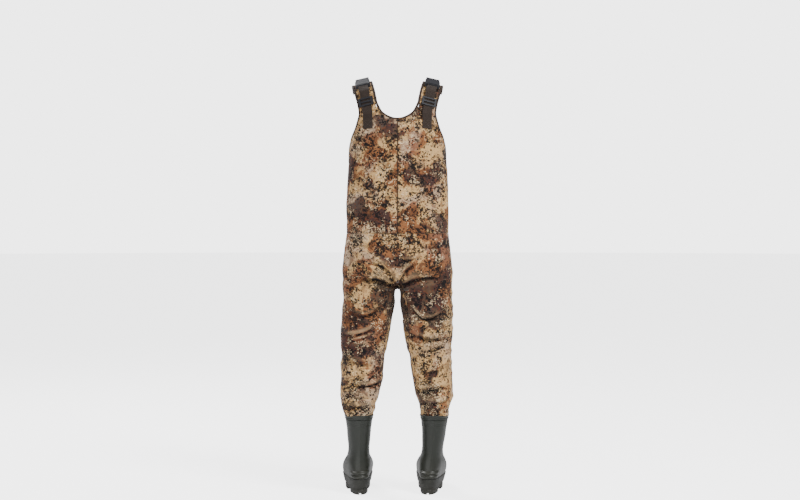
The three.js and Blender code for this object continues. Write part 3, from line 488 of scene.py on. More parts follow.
garment = {
    "torso": [[790, 213, 104, 100], [840, 215, 124, 108], [900, 209, 133, 116], [1000, 197, 117, 122],
              [1090, 198, 106, 124], [1200, 193, 110, 126], [1300, 188, 122, 126], [1400, 187, 127, 119],
              [1480, 187, 118, 104]],
    "left": [[300, 149.5, 54.5, 11.5, 63], [355, 149, 68, 9, 74], [394, 142, 74.5, 6, 79],
             [490, 134, 79.5, 0, 83], [567, 131, 88, -6, 88], [664, 120, 94, -6, 98],
             [790, 108, 104, 1, 101]],
    "right": [[300, 143.5, 55, 11.5, 63], [355, 144, 66, 9, 74], [394, 141, 71, 6, 79],
              [490, 133, 79, 0, 83], [567, 126, 88, -6, 88], [664, 118, 95, -6, 98], [790, 107, 103, 1, 101]],
    "thickness": 4.5, "crotch": 790.0, "waist": 1000.0, "bootTop": 300.0,
    "gussetTop": 812.0,  # where the inner-leg strips meet behind and in front of the fork
    "morph": 74.0,  # height over which the fork opens out into the seat
    "seamDepth": 1.7, "seamWidth": 2.6, "creasing": 1.9,
}
sides = {"left": 1, "right": -1}


def quarterOutline(z, behind):  # torso from the side seam to the centre, for the wearer's left
    halfWidth = sectionValue(garment["torso"], 1, z)
    reach = sectionValue(garment["torso"], 2 if behind else 3, z)
    angle = np.linspace(0, math.pi / 2, 260)
    x = halfWidth * np.cos(angle) ** (2 / 2.4)
    y = reach * np.sin(angle) ** (2 / 2.4) * (1 if behind else -1)
    x[-1] = 0
    return evenly(np.stack([x, y], 1), 241)


# half of the gap between the legs, which opens downwards from the fork
fork = {"from": 664, "arch": 12, "near": 5, "wider": 21, "drop": 126, "power": 0.75}


def legOutline(which, z, behind):  # from the side seam to the inner face
    table = garment[which]
    centre, half, middle, depth = [sectionValue(table, k, z) for k in (1, 2, 3, 4)]
    below = garment["crotch"] - z
    if z > fork["from"]:
        arch = math.sqrt(max(0.0, 1 - (1 - min(1.0, below / fork["arch"])) ** 2))
        inner = (fork["near"] + fork["wider"] * (below / fork["drop"]) ** fork["power"]) * arch
    else:
        inner = centre - half
    top = float(smoothStep(z, 620, 790))
    angle = np.linspace(0, math.pi, 520)
    c, s = np.cos(angle), np.sin(angle)
    power = 2 / np.where(c < 0, 2.3 + 1.9 * top, 2.3)
    x = np.where(c >= 0, centre + half * np.abs(c) ** power, centre - (centre - inner) * np.abs(c) ** power)
    level = middle * (1 - float(smoothStep(z, 740, 790)) * (1 - c) / 2)  # the fork lies on the axis
    y = level + depth * np.abs(s) ** power * (1 if behind else -1)
    return evenly(np.stack([x, y], 1), 241)


def halfOutline(which, z, behind):
    crotch = garment["crotch"]
    if z < crotch:
        line = legOutline(which, z, behind)
    else:
        line = quarterOutline(z, behind)
        up = (z - crotch) / garment["morph"]
        if up < 1:
            low = legOutline(which, crotch - 1e-6, behind)
            low[-1] = 0
            inwards = np.linspace(0, 1, len(line))
            nearFork = smoothStep(inwards, 0.5, 0.97)  # full at the fork, gentle outside it
            share = float(smoothStep(up, 0, 1)) * (1 - nearFork) + math.sqrt(1 - (1 - up) ** 2) * nearFork
            line = low * (1 - share[:, None]) + line * share[:, None]
    return line * [sides[which], 1]


def gussetEdge(z):  # share of the way from side seam to fork where the strip begins
    crotch, top = garment["crotch"], garment["gussetTop"]
    if z >= top:
        return 1.0
    halfAngle = 12 + 36 * float(smoothStep(min(z, crotch), 420, crotch))
    outlineEdge = (180 - halfAngle) / 180
    start = 0.5 + (outlineEdge - 0.5) * (0.93 if z > 600 else 1.0)
    if z > crotch:
        return start + (1 - start) * ((z - crotch) / (top - crotch)) ** 0.8
    return start


def noiseField(points, scale, seed):  # smooth random field, -1 to 1
    p = np.asarray(points, float) * scale + seed * 17.37
    cell = np.floor(p).astype(np.int64)
    f = p - cell
    f = f * f * f * (f * (f * 6 - 15) + 10)
    total = 0
    for dx in (0, 1):
        for dy in (0, 1):
            for dz in (0, 1):
                h = ((cell[..., 0] + dx) * 374761393 + (cell[..., 1] + dy) * 668265263
                     + (cell[..., 2] + dz) * 2147483647 + seed * 974711) & 0xFFFFFFFF
                h = ((h ^ (h >> 13)) * 1274126177) & 0xFFFFFFFF
                value = ((h ^ (h >> 16)) & 0xFFFF) / 32767.5 - 1
                total = total + (value * np.where(dx, f[..., 0], 1 - f[..., 0])
                                 * np.where(dy, f[..., 1], 1 - f[..., 1])
                                 * np.where(dz, f[..., 2], 1 - f[..., 2]))
    return total


# creases seen from behind (True) or in front: from (x, z) to (x, z), how far the middle hangs below, width,
# depth, and the share of the bulge that stands up beside it
creases = [
    (True, (-44, 738), (-182, 708), 52, 6.0, 5.5, 0.6),
    (True, (52, 742), (196, 716), 46, 7.0, 4.5, 0.6),
    (True, (84, 640), (196, 606), 8, 6.0, 6.5, 0.9),
    (True, (92, 616), (186, 590), 6, 6.0, 5.5, 0.8),
    (True, (-52, 612), (-206, 596), 10, 6.5, 5.0, 0.7),
    (True, (-60, 560), (-196, 574), 16, 8.0, 3.5, 0.6),
    (True, (60, 430), (166, 418), 8, 6.0, 5.5, 0.8),
    (True, (84, 498), (204, 522), 10, 8.0, 3.6, 0.6),
    (True, (-74, 470), (-188, 488), 12, 8.0, 3.6, 0.6),
    (True, (-72, 402), (-200, 420), 10, 7.5, 4.2, 0.7),
    (True, (98, 372), (206, 388), 8, 7.0, 3.8, 0.7),
    (True, (-90, 352), (-200, 360), 6, 7.0, 4.0, 0.7),
    (True, (96, 340), (206, 338), 4, 6.0, 3.6, 0.7),
    (True, (4, 800), (86, 884), -16, 7.0, 5.0, 0.7),
    (True, (-4, 800), (-92, 892), -16, 7.0, 5.0, 0.7),
    (True, (10, 796), (150, 820), -14, 8.0, 5.0, 0.6),
    (True, (-10, 796), (-160, 826), -14, 8.0, 5.0, 0.6),
    (True, (-14, 896), (-104, 914), 10, 6.0, 3.4, 0.9),
    (True, (22, 874), (130, 918), 14, 8.0, 3.0, 0.7),
    (True, (60, 956), (182, 968), 12, 9.0, 2.6, 0.6),
    (True, (-60, 962), (-178, 950), 12, 9.0, 2.6, 0.6),
    (True, (-40, 1010), (60, 1006), 8, 9.0, 1.8, 0.6),
    (False, (40, 650), (196, 640), 12, 8.0, 4.5, 0.7),
    (False, (-40, 652), (-196, 636), 12, 8.0, 4.5, 0.7),
    (False, (56, 462), (206, 446), 12, 8.0, 5.0, 0.7),
    (False, (-56, 458), (-200, 448), 12, 8.0, 5.0, 0.7),
    (False, (80, 394), (212, 402), 10, 7.0, 4.4, 0.7),
    (False, (-80, 398), (-208, 396), 10, 7.0, 4.4, 0.7),
    (False, (90, 346), (206, 350), 6, 7.0, 4.0, 0.7),
    (False, (-90, 350), (-202, 346), 6, 7.0, 4.0, 0.7),
    (False, (6, 802), (120, 868), -14, 8.0, 5.0, 0.7),
    (False, (-6, 802), (-124, 872), -14, 8.0, 5.0, 0.7),
    (False, (10, 796), (168, 812), -10, 9.0, 4.6, 0.6),
    (False, (-10, 796), (-168, 816), -10, 9.0, 4.6, 0.6),
    (False, (-150, 940), (150, 948), 10, 11.0, 2.2, 0.6),
]


def creaseField(points, behind):
    x, z = points[..., 0], points[..., 2]
    total = np.zeros(x.shape)
    for rear, start, end, bow, width, depth, lip in creases:
        if rear != behind:
            continue
        a, b = np.array(start, float), np.array(end, float)
        length = np.linalg.norm(b - a)
        run = (b - a) / length
        across = np.array([-run[1], run[0]]) if b[0] > a[0] else np.array([run[1], -run[0]])
        t = ((x - a[0]) * run[0] + (z - a[1]) * run[1]) / length
        off = (x - a[0]) * across[0] + (z - a[1]) * across[1]
        inside = np.clip(t, 0, 1)
        v = off + bow * 4 * inside * (1 - inside)
        beyond = np.maximum(0, np.abs(t - 0.5) - 0.5) * length
        fade = np.sin(np.pi * (0.06 + 0.88 * inside)) ** 0.8 * np.exp(-(beyond / 14) ** 2)
        fade = fade * smoothStep(np.minimum(t, 1 - t), -0.14, 0.16)
        groove = -np.exp(-(v / width) ** 2)
        ridge = lip * (np.exp(-((v - 2.3 * width) / (1.5 * width)) ** 2)
                       + 0.55 * np.exp(-((v + 2.5 * width) / (1.7 * width)) ** 2))
        total = total + depth * fade * (groove + ridge)
    return total


def folds(points, behind, quiet):
    legs = 1 - smoothStep(points[..., 2], 760, 900)
    low = 1 - smoothStep(points[..., 2], 330, 420)
    stretch = np.array([0.55, 0.8, 1.5])
    broad = noiseField(points * stretch, 1 / 120, 3)
    fine = noiseField(points * stretch, 1 / 46, 5)
    ridged = 1 - np.abs(noiseField(points * np.array([0.4, 0.6, 1.6]), 1 / 70, 8)) * 2
    swell = broad * (2.0 + 3.0 * legs) + fine * (0.8 + 1.2 * legs) + ridged * (0.6 + 2.2 * legs)
    ring = noiseField(points * np.array([0.35, 0.35, 2.2]), 1 / 40, 11) * 2.4 * low
    hold = smoothStep(points[..., 2], 300, 322)  # the cuff is held by the boot's collar
    return (swell + ring + creaseField(points, behind) * garment["creasing"]) * quiet * hold


# meshes

def toRow(points):
    return np.asarray(points, float) * mm + axisPoint


def gridFaces(rows, columns, wraps=False, first=0, flip=False):
    width = columns if wraps else columns + 1
    r, c = np.meshgrid(np.arange(rows), np.arange(columns), indexing="ij")
    right = (c + 1) % width if wraps else c + 1
    quads = np.stack([r * width + c, r * width + right, (r + 1) * width + right, (r + 1) * width + c], -1)
    quads = quads.reshape(-1, 4) + first
    return quads[:, ::-1] if flip else quads


def makeMesh(name, points, faces, finish, run=None, crease=None):
    data = bpy.data.meshes.new(name)
    data.from_pydata(toRow(points).tolist(), [], [list(map(int, face)) for face in faces])
    data.shade_smooth()
    if run is not None:
        loops = np.empty(len(data.loops), np.int32)
        data.loops.foreach_get("vertex_index", loops)
        data.uv_layers.new(name="weave").data.foreach_set("uv", np.asarray(run, np.float32)[loops].ravel())
    if crease is not None:  # below 0 in the folds, above 0 on the ridges
        data.attributes.new("crease", "FLOAT", "POINT").data.foreach_set("value", np.ravel(crease))
    data.materials.append(finish)
    piece = bpy.data.objects.new(name, data)
    bpy.context.collection.objects.link(piece)
    return piece


def welded(piece, distance=0.02):
    shape = bmesh.new()
    shape.from_mesh(piece.data)
    bmesh.ops.remove_doubles(shape, verts=shape.verts, dist=distance * mm)
    bmesh.ops.dissolve_degenerate(shape, edges=shape.edges, dist=0.004 * mm)
    shape.to_mesh(piece.data)
    shape.free()
    return piece


def thickened(piece, thickness):
    wall = piece.modifiers.new("thickness", "SOLIDIFY")
    wall.thickness = thickness * mm
    wall.offset = -1
    wall.use_even_offset = False
    if piece.name.endswith("_cloth"):  # plain knit on the inside of the neoprene
        piece.data.materials.append(finishes["inner"])
        wall.material_offset = 1
    return piece


def rounded(piece, width, segments=2, angle=35):
    edge = piece.modifiers.new("edges", "BEVEL")
    edge.width = width * mm
    edge.segments = segments
    edge.limit_method = "ANGLE"
    edge.angle_limit = math.radians(angle)
    edge.harden_normals = False
    return piece


def gridNormals(points):
    across = np.gradient(points, axis=1)
    up = np.gradient(points, axis=0)
    normal = np.cross(across, up)
    length = np.linalg.norm(normal, axis=-1, keepdims=True)
    return normal / np.maximum(length, 1e-9)


def clustered(count, tight=0.03):  # shares from 0 to 1 that crowd at both ends
    near = np.array([0, 0.1, 0.22, 0.38, 0.6]) * tight
    return np.concatenate([near, np.linspace(tight, 1 - tight, count), (1 - near)[::-1]])


def rowsBetween(low, high, step, *close):
    rows = set(np.round(np.arange(low, high, step), 3)) | {low, high}
    for place in close:
        for off in (0.15, 0.5, 1, 1.8, 2.8, 4, 5.6, 8):
            rows |= {round(place + s * off, 3) for s in (-1, 1)}
        rows.add(place)
    kept = sorted(z for z in rows if low <= z <= high)
    return [z for i, z in enumerate(kept) if i == 0 or z - kept[i - 1] > 0.12 or z in close or z == high]


def shapedGrid(points, centre, quiet, seams, behind):
    normals = gridNormals(points)
    middle = np.abs(points[..., 0]) < 1e-6
    normals[middle, 0] = 0
    away = ((points - centre) * normals * [1, 1, 0]).sum(-1).mean()
    flip = away < 0
    if flip:
        normals = -normals
    groove = garment["seamDepth"] * np.exp(-(np.minimum.reduce(seams) / garment["seamWidth"]) ** 2)
    lift = folds(points, behind, quiet) - groove
    # these crease values carry the cloth's painted shade in folds and seam grooves and its painted highlight on
    # ridges
    crease = creaseField(points, behind) * quiet / 4 - 0.5 * groove / garment["seamDepth"]
    return points + normals * lift[..., None], flip, crease


def halfGrid(which, behind, rows, shares, edgeOf, fromEdge=False):
    points, lengths, edges = [], [], []
    for z in rows:
        line = halfOutline(which, z, behind)
        total = runLengths(line)[-1]
        edge = edgeOf(z, total)
        begin, end = (edge, 1.0) if fromEdge else (edge if isinstance(edge, tuple) else (0.0, edge))
        f = begin + (end - begin) * shares
        xy = alongLine(line, f * total)
        points.append(np.column_stack([xy, np.full(len(f), z)]))
        lengths.append(f * total)
        edges.append((begin * total, end * total, total))
    return np.array(points), np.array(lengths), np.array(edges)


def lowerPiece(name, behind, finish):  # from the waist down both legs to the boots, without the inner strips
    crotch, top = garment["crotch"], garment["gussetTop"]
    rows = rowsBetween(garment["bootTop"] + 0.2, garment["waist"], 3.0, crotch, garment["waist"])
    shares = clustered(62)
    points, faces, creased = [], [], []
    for which, side in sides.items():
        grid, runs, edges = halfGrid(which, behind, rows, shares, lambda z, total: gussetEdge(z))
        z = grid[..., 2]
        toInner = np.where(z < top, edges[:, 1:2] - runs, np.hypot(edges[:, 2:3] - runs, z - top))
        seams = [runs, toInner, np.abs(garment["waist"] - z)]
        lift, flip, crease = shapedGrid(grid, [side * 70, 0, 0], 1.0, seams, behind)
        creased.append(crease.ravel())
        faces.append(gridFaces(len(rows) - 1, len(shares) - 1, first=sum(map(len, points)), flip=flip))
        points.append(lift.reshape(-1, 3))
    piece = makeMesh(name, np.concatenate(points), np.concatenate(faces), finish,
                     crease=np.concatenate(creased))
    return thickened(welded(piece), garment["thickness"])


def innerStrips(name, finish):  # inner-leg strips that run into each other at the fork
    crotch, top = garment["crotch"], garment["gussetTop"]
    rows = rowsBetween(garment["bootTop"] + 0.2, top, 4.5, crotch, top)
    shares = np.concatenate([np.array([0, 0.04, 0.1, 0.18, 0.28]), np.linspace(0.38, 1, 14)])
    points, faces = [], []
    for which, side in sides.items():
        for behind in (True, False):
            grid, runs, edges = halfGrid(which, behind, rows, shares,
                                         lambda z, total: gussetEdge(z), fromEdge=True)
            z = grid[..., 2]
            normals = gridNormals(grid)
            below = z[:, -1] < crotch
            normals[below, -1, 1] = 0
            normals[~below, -1, 0] = 0
            normals /= np.maximum(np.linalg.norm(normals, axis=-1, keepdims=True), 1e-9)
            centre = np.array([side * 125, 0, 0])
            flip = ((grid - centre) * normals * [1, 1, 0])[z < 740].sum(-1).mean() < 0
            normals = -normals if flip else normals
            groove = garment["seamDepth"] * np.exp(-((runs - edges[:, :1]) / garment["seamWidth"]) ** 2)
            groove = np.where(z > top - 12, garment["seamDepth"], groove)
            quiet = 1 - 0.75 * smoothStep(z, 730, 785)
            lift = folds(grid, behind, quiet)
            other = folds(grid, not behind, quiet)
            half = 0.5 * smoothStep(shares, 0.35, 1.0)[None, :]
            lift = lift * (1 - half) + other * half - groove
            faces.append(gridFaces(len(rows) - 1, len(shares) - 1, first=sum(map(len, points)), flip=flip))
            points.append((grid + normals * lift[..., None]).reshape(-1, 3))
    piece = makeMesh(name, np.concatenate(points), np.concatenate(faces), finish)
    return thickened(welded(piece, 0.05), garment["thickness"])


edgeTables = {
    "armBack": [[1, 1300], [0.985, 1300.3], [0.965, 1305], [0.92, 1320], [0.86, 1340], [0.79, 1364],
                [0.7, 1393], [0.646, 1422], [0.614, 1452], [0.617, 1476]],
    "armFront": [[1, 1300], [0.985, 1300.3], [0.96, 1304.5], [0.9, 1317], [0.8, 1333], [0.67, 1354],
                 [0.56, 1376], [0.49, 1402]],
    "neck": [[0, 1437], [12, 1438], [27, 1442.5], [45, 1452], [59, 1463.5], [68, 1475]],
    "bibTop": 1400.0, "backTop": 1478.0, "armLow": 1300, "neckLow": 1437,
    "tape": 9.0, "tapeProud": 0.8, "under": 4.0,
}


def sideLength(z, behind):
    return runLengths(quarterOutline(z, behind))[-1]


def edgeCurve(name):
    table = edgeTables[name]
    if name != "neck":
        table = [[share * sideLength(z, name == "armBack"), z] for share, z in table]
    return evenly(splinePoints([[a, z] for a, z in table]), 60)


def insetCurve(line, distance):
    step = np.gradient(line, axis=0)
    step /= np.linalg.norm(step, axis=1, keepdims=True)
    return line + np.stack([step[:, 1], -step[:, 0]], 1) * distance


edgeLines = {name: edgeCurve(name) for name in ("neck", "armBack", "armFront")}
under = edgeTables["under"]
panelLines = {"neck": insetCurve(edgeLines["neck"], under),
              "armBack": insetCurve(edgeLines["armBack"], -under),
              "armFront": insetCurve(edgeLines["armFront"], -under)}


def edgeAt(name, z, before):
    line = panelLines[name]
    order = np.argsort(line[:, 1])
    return before if z <= line[:, 1].min() else float(np.interp(z, line[order, 1], line[order, 0]))


def upperPanel(which, behind, high):  # half of the back or of the bib, above the waist
    closeTo = [garment["waist"], panelLines["armBack" if behind else "armFront"][:, 1].min() + 1]
    if behind:
        closeTo.append(panelLines["neck"][:, 1].min() + 1)
    rows = rowsBetween(garment["waist"], high, 5.0, *closeTo)
    shares = clustered(46)
    arm = "armBack" if behind else "armFront"

    def edgeOf(z, total):
        outer = min(edgeAt(arm, z, total), total)
        inner = edgeAt("neck", z, 0.0) if behind else 0.0
        return (1 - outer / total, 1 - inner / total)

    grid, runs, edges = halfGrid(which, behind, rows, shares, edgeOf)
    z = grid[..., 2]
    toOuter, toInner = runs - edges[:, :1], edges[:, 1:2] - runs
    far = np.full(z.shape, 99.0)
    armLow, neckLow = edgeTables["armLow"], edgeTables["neckLow"]
    seams = [np.where(z < armLow + 2, toOuter, far), z - garment["waist"], toInner if behind else far]
    nearArm = np.where(z > armLow, toOuter, np.hypot(toOuter, armLow - z))
    nearNeck = np.where(z > neckLow, toInner, np.hypot(toInner, neckLow - z)) if behind else high - z
    quiet = smoothStep(np.minimum(nearArm, nearNeck), 4, 46)
    lift, flip, crease = shapedGrid(grid, [0, 0, 0], quiet, seams, behind)
    return lift.reshape(-1, 3), gridFaces(len(rows) - 1, len(shares) - 1, flip=flip), crease.ravel()


def backPanel(which, finish):
    points, faces, crease = upperPanel(which, True, edgeTables["backTop"])
    piece = makeMesh(f"back_panel_{which}_cloth", points, faces, finish, crease=crease)
    return thickened(piece, garment["thickness"])


def bibPanel(finish):
    points, faces, crease = zip(*[upperPanel(which, False, edgeTables["bibTop"] - under) for which in sides])
    faces = [faces[0], faces[1] + len(points[0])]
    piece = makeMesh("bib_panel_cloth", np.concatenate(points), np.concatenate(faces), finish,
                     crease=np.concatenate(crease))
    return thickened(welded(piece), garment["thickness"])


cloths = {  # each panel is cut from another place of the print
    "backLeft": camoCloth("camoBackLeft", (0.31, 0.12, 0.77)),
    "backRight": camoCloth("camoBackRight", (1.93, 0.55, 0.18)),
    "bib": camoCloth("camoBib", (2.71, 1.42, 0.63)),
    "seat": camoCloth("camoSeat", (3.37, 2.21, 1.09)),
    "hips": camoCloth("camoHips", (4.82, 3.05, 2.41)),
    "strips": camoCloth("camoStrips", (5.63, 0.94, 3.36)),
    "knees": camoCloth("camoKnees", (7.41, 2.6, 1.7)),
    "pocket": camoCloth("camoPocket", (8.25, 3.3, 0.9)),
    "pouch": camoCloth("camoPouch", (9.4, 0.2, 2.2)),
    "flap": camoCloth("camoFlap", (1.2, 4.4, 3.9)),
}

body = "garment"


def sewnOn(piece, nodes):
    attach(piece, body)
    if nodes:
        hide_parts(*nodes)
    return piece


sewnOn(lowerPiece("seat_and_leg_back_cloth", True, cloths["seat"]),
       ["seat_panel", "left_leg_back_panel", "right_leg_back_panel"])
sewnOn(lowerPiece("hip_and_leg_front_cloth", False, cloths["hips"]),
       ["hip_front_panel", "left_leg_front_panel", "right_leg_front_panel"])
sewnOn(innerStrips("inner_leg_gusset_cloth", cloths["strips"]),
       ["left_inner_leg_strip", "right_inner_leg_strip", "crotch_gusset"])
for which in sides:
    sewnOn(backPanel(which, cloths["back" + which.capitalize()]), [f"back_panel_{which}"])
sewnOn(bibPanel(cloths["bib"]), ["bib_panel"])
print("body panels made")


# edge tape, shoulder pads and webbing

strap = {
    "pad": [[111, 105, 1471], [116, 94, 1499], [124, 73, 1533], [132, 40, 1562], [137, 0, 1576],
            [138, -38, 1570], [134, -72, 1547]],
    "padRoll": (22, 13), "padHalf": 40.0, "padThickness": 6.0, "padCrown": 0.9,
    "padPressure": 2.2, "padSwell": 0.8, "padTuck": 12.0, "tuckDrop": 2.5, "tapeEnd": 0.97,
    "sliderRun": ((112.5, 114.5, 1455), (126, 90.5, 1541)),
    "buckleAt": (134, 31, 1575.5), "buckleTo": (0.045, -0.921, 0.387), "buckleLength": 76.0,
    "hardwareRoll": 19.0, "buckleRoll": 13.0, "webbing": (38.0, 1.8),
}
stitch = {"gap": 4.6, "length": 3.3, "radius": 0.42}


def unit(vectors):
    vectors = np.asarray(vectors, float)
    return vectors / np.maximum(np.linalg.norm(vectors, axis=-1, keepdims=True), 1e-9)


def onGirth(distance, z, behind):  # distance from the centre along the torso's girth, + is the left
    line = quarterOutline(z, behind)[::-1]
    x, y = alongLine(line, min(abs(distance), runLengths(line)[-1]))
    return np.array([math.copysign(x, distance) if distance else x, y, z])


def torsoNormal(point, behind):
    halfWidth = sectionValue(garment["torso"], 1, point[2])
    reach = sectionValue(garment["torso"], 2 if behind else 3, point[2])
    x = signedPower(point[0] / halfWidth, 1.4) / halfWidth
    y = signedPower(point[1] / reach, 1.4) / reach
    return unit([x, y, 0])


def edgeStations(line, behind, side, inwards):
    out = []
    for i, (a, z) in enumerate(line):
        before, after = line[max(0, i - 1)], line[min(len(line) - 1, i + 1)]
        at = onGirth(side * a, z, behind)
        away = torsoNormal(at, behind)
        last, coming = (onGirth(side * near[0], near[1], behind) for near in (before, after))
        along = unit(coming - last)
        out.append((at, unit(np.cross(along, away)) * side * inwards, away))
    return out


def padRollAt(t):
    return strap["padRoll"][0] + (strap["padRoll"][1] - strap["padRoll"][0]) * float(smoothStep(t, 0, 0.5))


def frameAlong(curve, t, side, roll):  # place, across and out at a share of the curve's length
    lengths = runLengths(curve)
    at = alongLine(curve, t * lengths[-1])
    ahead, back = (alongLine(curve, np.clip(t + d, 0, 1) * lengths[-1]) for d in (0.004, -0.004))
    along = unit(ahead - back)
    flat = unit(np.array([1, 0, 0]) - along * along[0])
    rise = np.cross(along, flat)
    lean = math.radians(roll(t))
    across = flat * math.cos(lean) - rise * math.sin(lean)
    out = rise * math.cos(lean) + flat * math.sin(lean)
    mirror = [side, 1, 1]
    return at * mirror, across * mirror, out * mirror, along * mirror


padLine = splinePoints(strap["pad"])


def padEdge(side, edge):
    out = []
    for t in np.linspace(0, strap["tapeEnd"], 25)[2:]:
        at, across, away, along = frameAlong(padLine, t, side, padRollAt)
        out.append((at + across * edge * strap["padHalf"], -across * edge, away))
    return out


def smoothStations(stations, step=4.0):
    at, across, out = (np.array(v) for v in zip(*stations))
    curve = splinePoints(at, 10)
    total = runLengths(curve)[-1]
    marks = runLengths(curve)[::10]
    wanted = np.linspace(0, total, int(total / step) + 1)
    pick = lambda values: unit(np.stack([np.interp(wanted, marks, values[:, k]) for k in range(3)], 1))
    return alongLine(curve, wanted), pick(across), pick(out), wanted


def sweep(name, stations, section, finish, closedEnds=True):
    at, across, out, lengths = stations
    section = np.asarray(section, float)
    points = (at[:, None] + across[:, None] * section[None, :, :1] + out[:, None] * section[None, :, 1:])
    rows, count = len(at), len(section)
    faces = gridFaces(rows - 1, count, wraps=True).tolist()
    girth = np.concatenate([[0], np.cumsum(np.linalg.norm(np.diff(section, axis=0), axis=1))])
    run = np.stack(np.broadcast_arrays(girth[None, :], lengths[:, None]), -1).reshape(-1, 2)
    points = points.reshape(-1, 3)
    if closedEnds:
        faces += [list(range(count)), list(range((rows - 1) * count, rows * count))[::-1]]
    piece = makeMesh(name, points, faces, finish, run)
    shape = bmesh.new()
    shape.from_mesh(piece.data)
    bmesh.ops.recalc_face_normals(shape, faces=shape.faces)
    shape.to_mesh(piece.data)
    shape.free()
    return piece


def roundSection(low, high, bottom, top, corner=4.0, count=20):  # rounded rectangle
    angle = np.linspace(0, 2 * math.pi, count, endpoint=False) + math.pi / count
    x = signedPower(np.cos(angle), 2 / corner) * (high - low) / 2 + (high + low) / 2
    y = signedPower(np.sin(angle), 2 / corner) * (top - bottom) / 2 + (top + bottom) / 2
    return np.stack([x, y], 1)


tapeSection = roundSection(0, edgeTables["tape"], -garment["thickness"] - edgeTables["tapeProud"],
                           edgeTables["tapeProud"], 3.4)
stitchLines = {"garment": []}


def stitchAlong(at, out, lift, which="garment"):
    stitchLines.setdefault(which, []).append(np.asarray(at) + np.asarray(out) * lift)


def edgeTape(name, stations, node):
    at, across, out, lengths = smoothStations(stations)
    ripple = 0.25 * np.sin(lengths / 9.0)[:, None] * out
    piece = sewnOn(sweep(name, (at + ripple, across, out, lengths), tapeSection, finishes["tape"]),
                   [node])
    stitchAlong(at + ripple + across * (edgeTables["tape"] - 1.6), out, edgeTables["tapeProud"] + 0.05)
    return piece


def addTapes():
    halves = [edgeStations(edgeLines["neck"][::6][:-1], True, side, -1) + padEdge(side, -1)
              for side in (1, -1)]
    edgeTape("neck_binding_tape", halves[1][1:][::-1] + halves[0], "neck_binding")
    for which, side in sides.items():
        back = edgeStations(edgeLines["armBack"][3::5][:-1], True, side, 1)
        front = edgeStations(edgeLines["armFront"][::5][:-1], False, side, -1)
        edgeTape(f"{which}_armhole_binding_tape", front[::-1] + back + padEdge(side, 1),
                 f"{which}_armhole_binding")
    line = edgeLines["armFront"]
    top = edgeTables["bibTop"]
    half = float(np.interp(top - 9, line[:, 1], line[:, 0])) - 10
    bib = [(onGirth(d, top, False), np.array([0, 0, -1.0]), torsoNormal(onGirth(d, top, False), False))
           for d in np.linspace(-half, half, 24)]
    edgeTape("bib_top_binding_tape", bib, "bib_top_binding")


def puffed(piece, pressure, cap, frames=18):  # lets a closed pad swell under the cloth solver
    shape = piece.modifiers.new("even", "REMESH")
    shape.mode = "VOXEL"
    shape.voxel_size = 3.5 * mm
    applied(piece)
    start = np.array([v.co for v in piece.data.vertices])
    solver = piece.modifiers.new("swell", "CLOTH")
    solver.settings.use_pressure = True
    solver.settings.uniform_pressure_force = pressure
    solver.settings.effector_weights.gravity = 0
    solver.settings.quality = 5
    solver.settings.bending_stiffness = 2.0
    solver.point_cache.frame_end = frames
    for number in range(1, frames + 1):
        bpy.context.scene.frame_set(number)
    applied(piece)
    bpy.context.scene.frame_set(1)
    now = np.array([v.co for v in piece.data.vertices])
    move = now - start
    length = np.linalg.norm(move, axis=1, keepdims=True)
    move *= np.minimum(1, cap * mm / np.maximum(length, 1e-9))
    piece.data.vertices.foreach_set("co", (start + move).astype(np.float32).ravel())
    piece.data.shade_smooth()


def applied(piece):
    bpy.context.view_layer.update()
    shown = piece.evaluated_get(bpy.context.evaluated_depsgraph_get())
    data = bpy.data.meshes.new_from_object(shown)
    piece.modifiers.clear()
    piece.data = data


def addPads():
    thickness, crown = strap["padThickness"], strap["padCrown"]
    reach = strap["padHalf"] - edgeTables["tape"] + 3.5
    section = roundSection(-reach, reach, -thickness + 0.6, 0.2, 5.0, 44)
    bulge = np.where(section[:, 1] > -thickness / 2, crown, -0.4)
    section[:, 1] += bulge * (1 - (section[:, 0] / reach) ** 4)
    for which, side in sides.items():
        cloth = cloths["back" + which.capitalize()]
        frames = [frameAlong(padLine, t, side, padRollAt) for t in np.linspace(0.0, 1, 46)]
        at, across, out, along = (np.array(v) for v in zip(*frames))
        tucked = at[0] - along[0] * strap["padTuck"] - out[0] * strap["tuckDrop"]  # sewn under the panel
        at = np.concatenate([[tucked], at])
        across, out = (np.concatenate([v[:1], v]) for v in (across, out))
        lengths = runLengths(at)
        piece = sweep(f"{which}_shoulder_pad_cloth", (at, across, out, lengths), section, cloth)
        puffed(piece, strap["padPressure"], strap["padSwell"])
        paint(piece, cloth)
        sewnOn(piece, [f"{which}_shoulder_pad"])


def webbingFrames(points, side, roll, count):
    curve = splinePoints(points)
    frames = [frameAlong(curve, t, side, roll) for t in np.linspace(0, 1, count)]
    at, across, out, along = (np.array(v) for v in zip(*frames))
    return at, across, out, runLengths(at)


def sewnAt(distance, z, behind, lift=1.6):
    at = onGirth(distance, z, behind)
    return at + torsoNormal(at, behind) * lift


def boxStitch(at, across, out, lengths, low, high, half):
    def spot(share, length):
        places = [np.interp(length, lengths, at[:, k]) for k in range(3)]
        sideways = [np.interp(length, lengths, across[:, k]) for k in range(3)]
        up = [np.interp(length, lengths, out[:, k]) for k in range(3)]
        return np.array(places) + np.array(sideways) * share * half + np.array(up) * 1.05

    corners = [(-1, low), (1, low), (1, high), (-1, high), (-1, low), (1, high), (1, low), (-1, high)]
    for (s0, l0), (s1, l1) in zip(corners, corners[1:]):
        line = [spot(s0 + (s1 - s0) * t, l0 + (l1 - l0) * t) for t in np.linspace(0, 1, 12)]
        stitchLines["garment"].append(np.array(line))


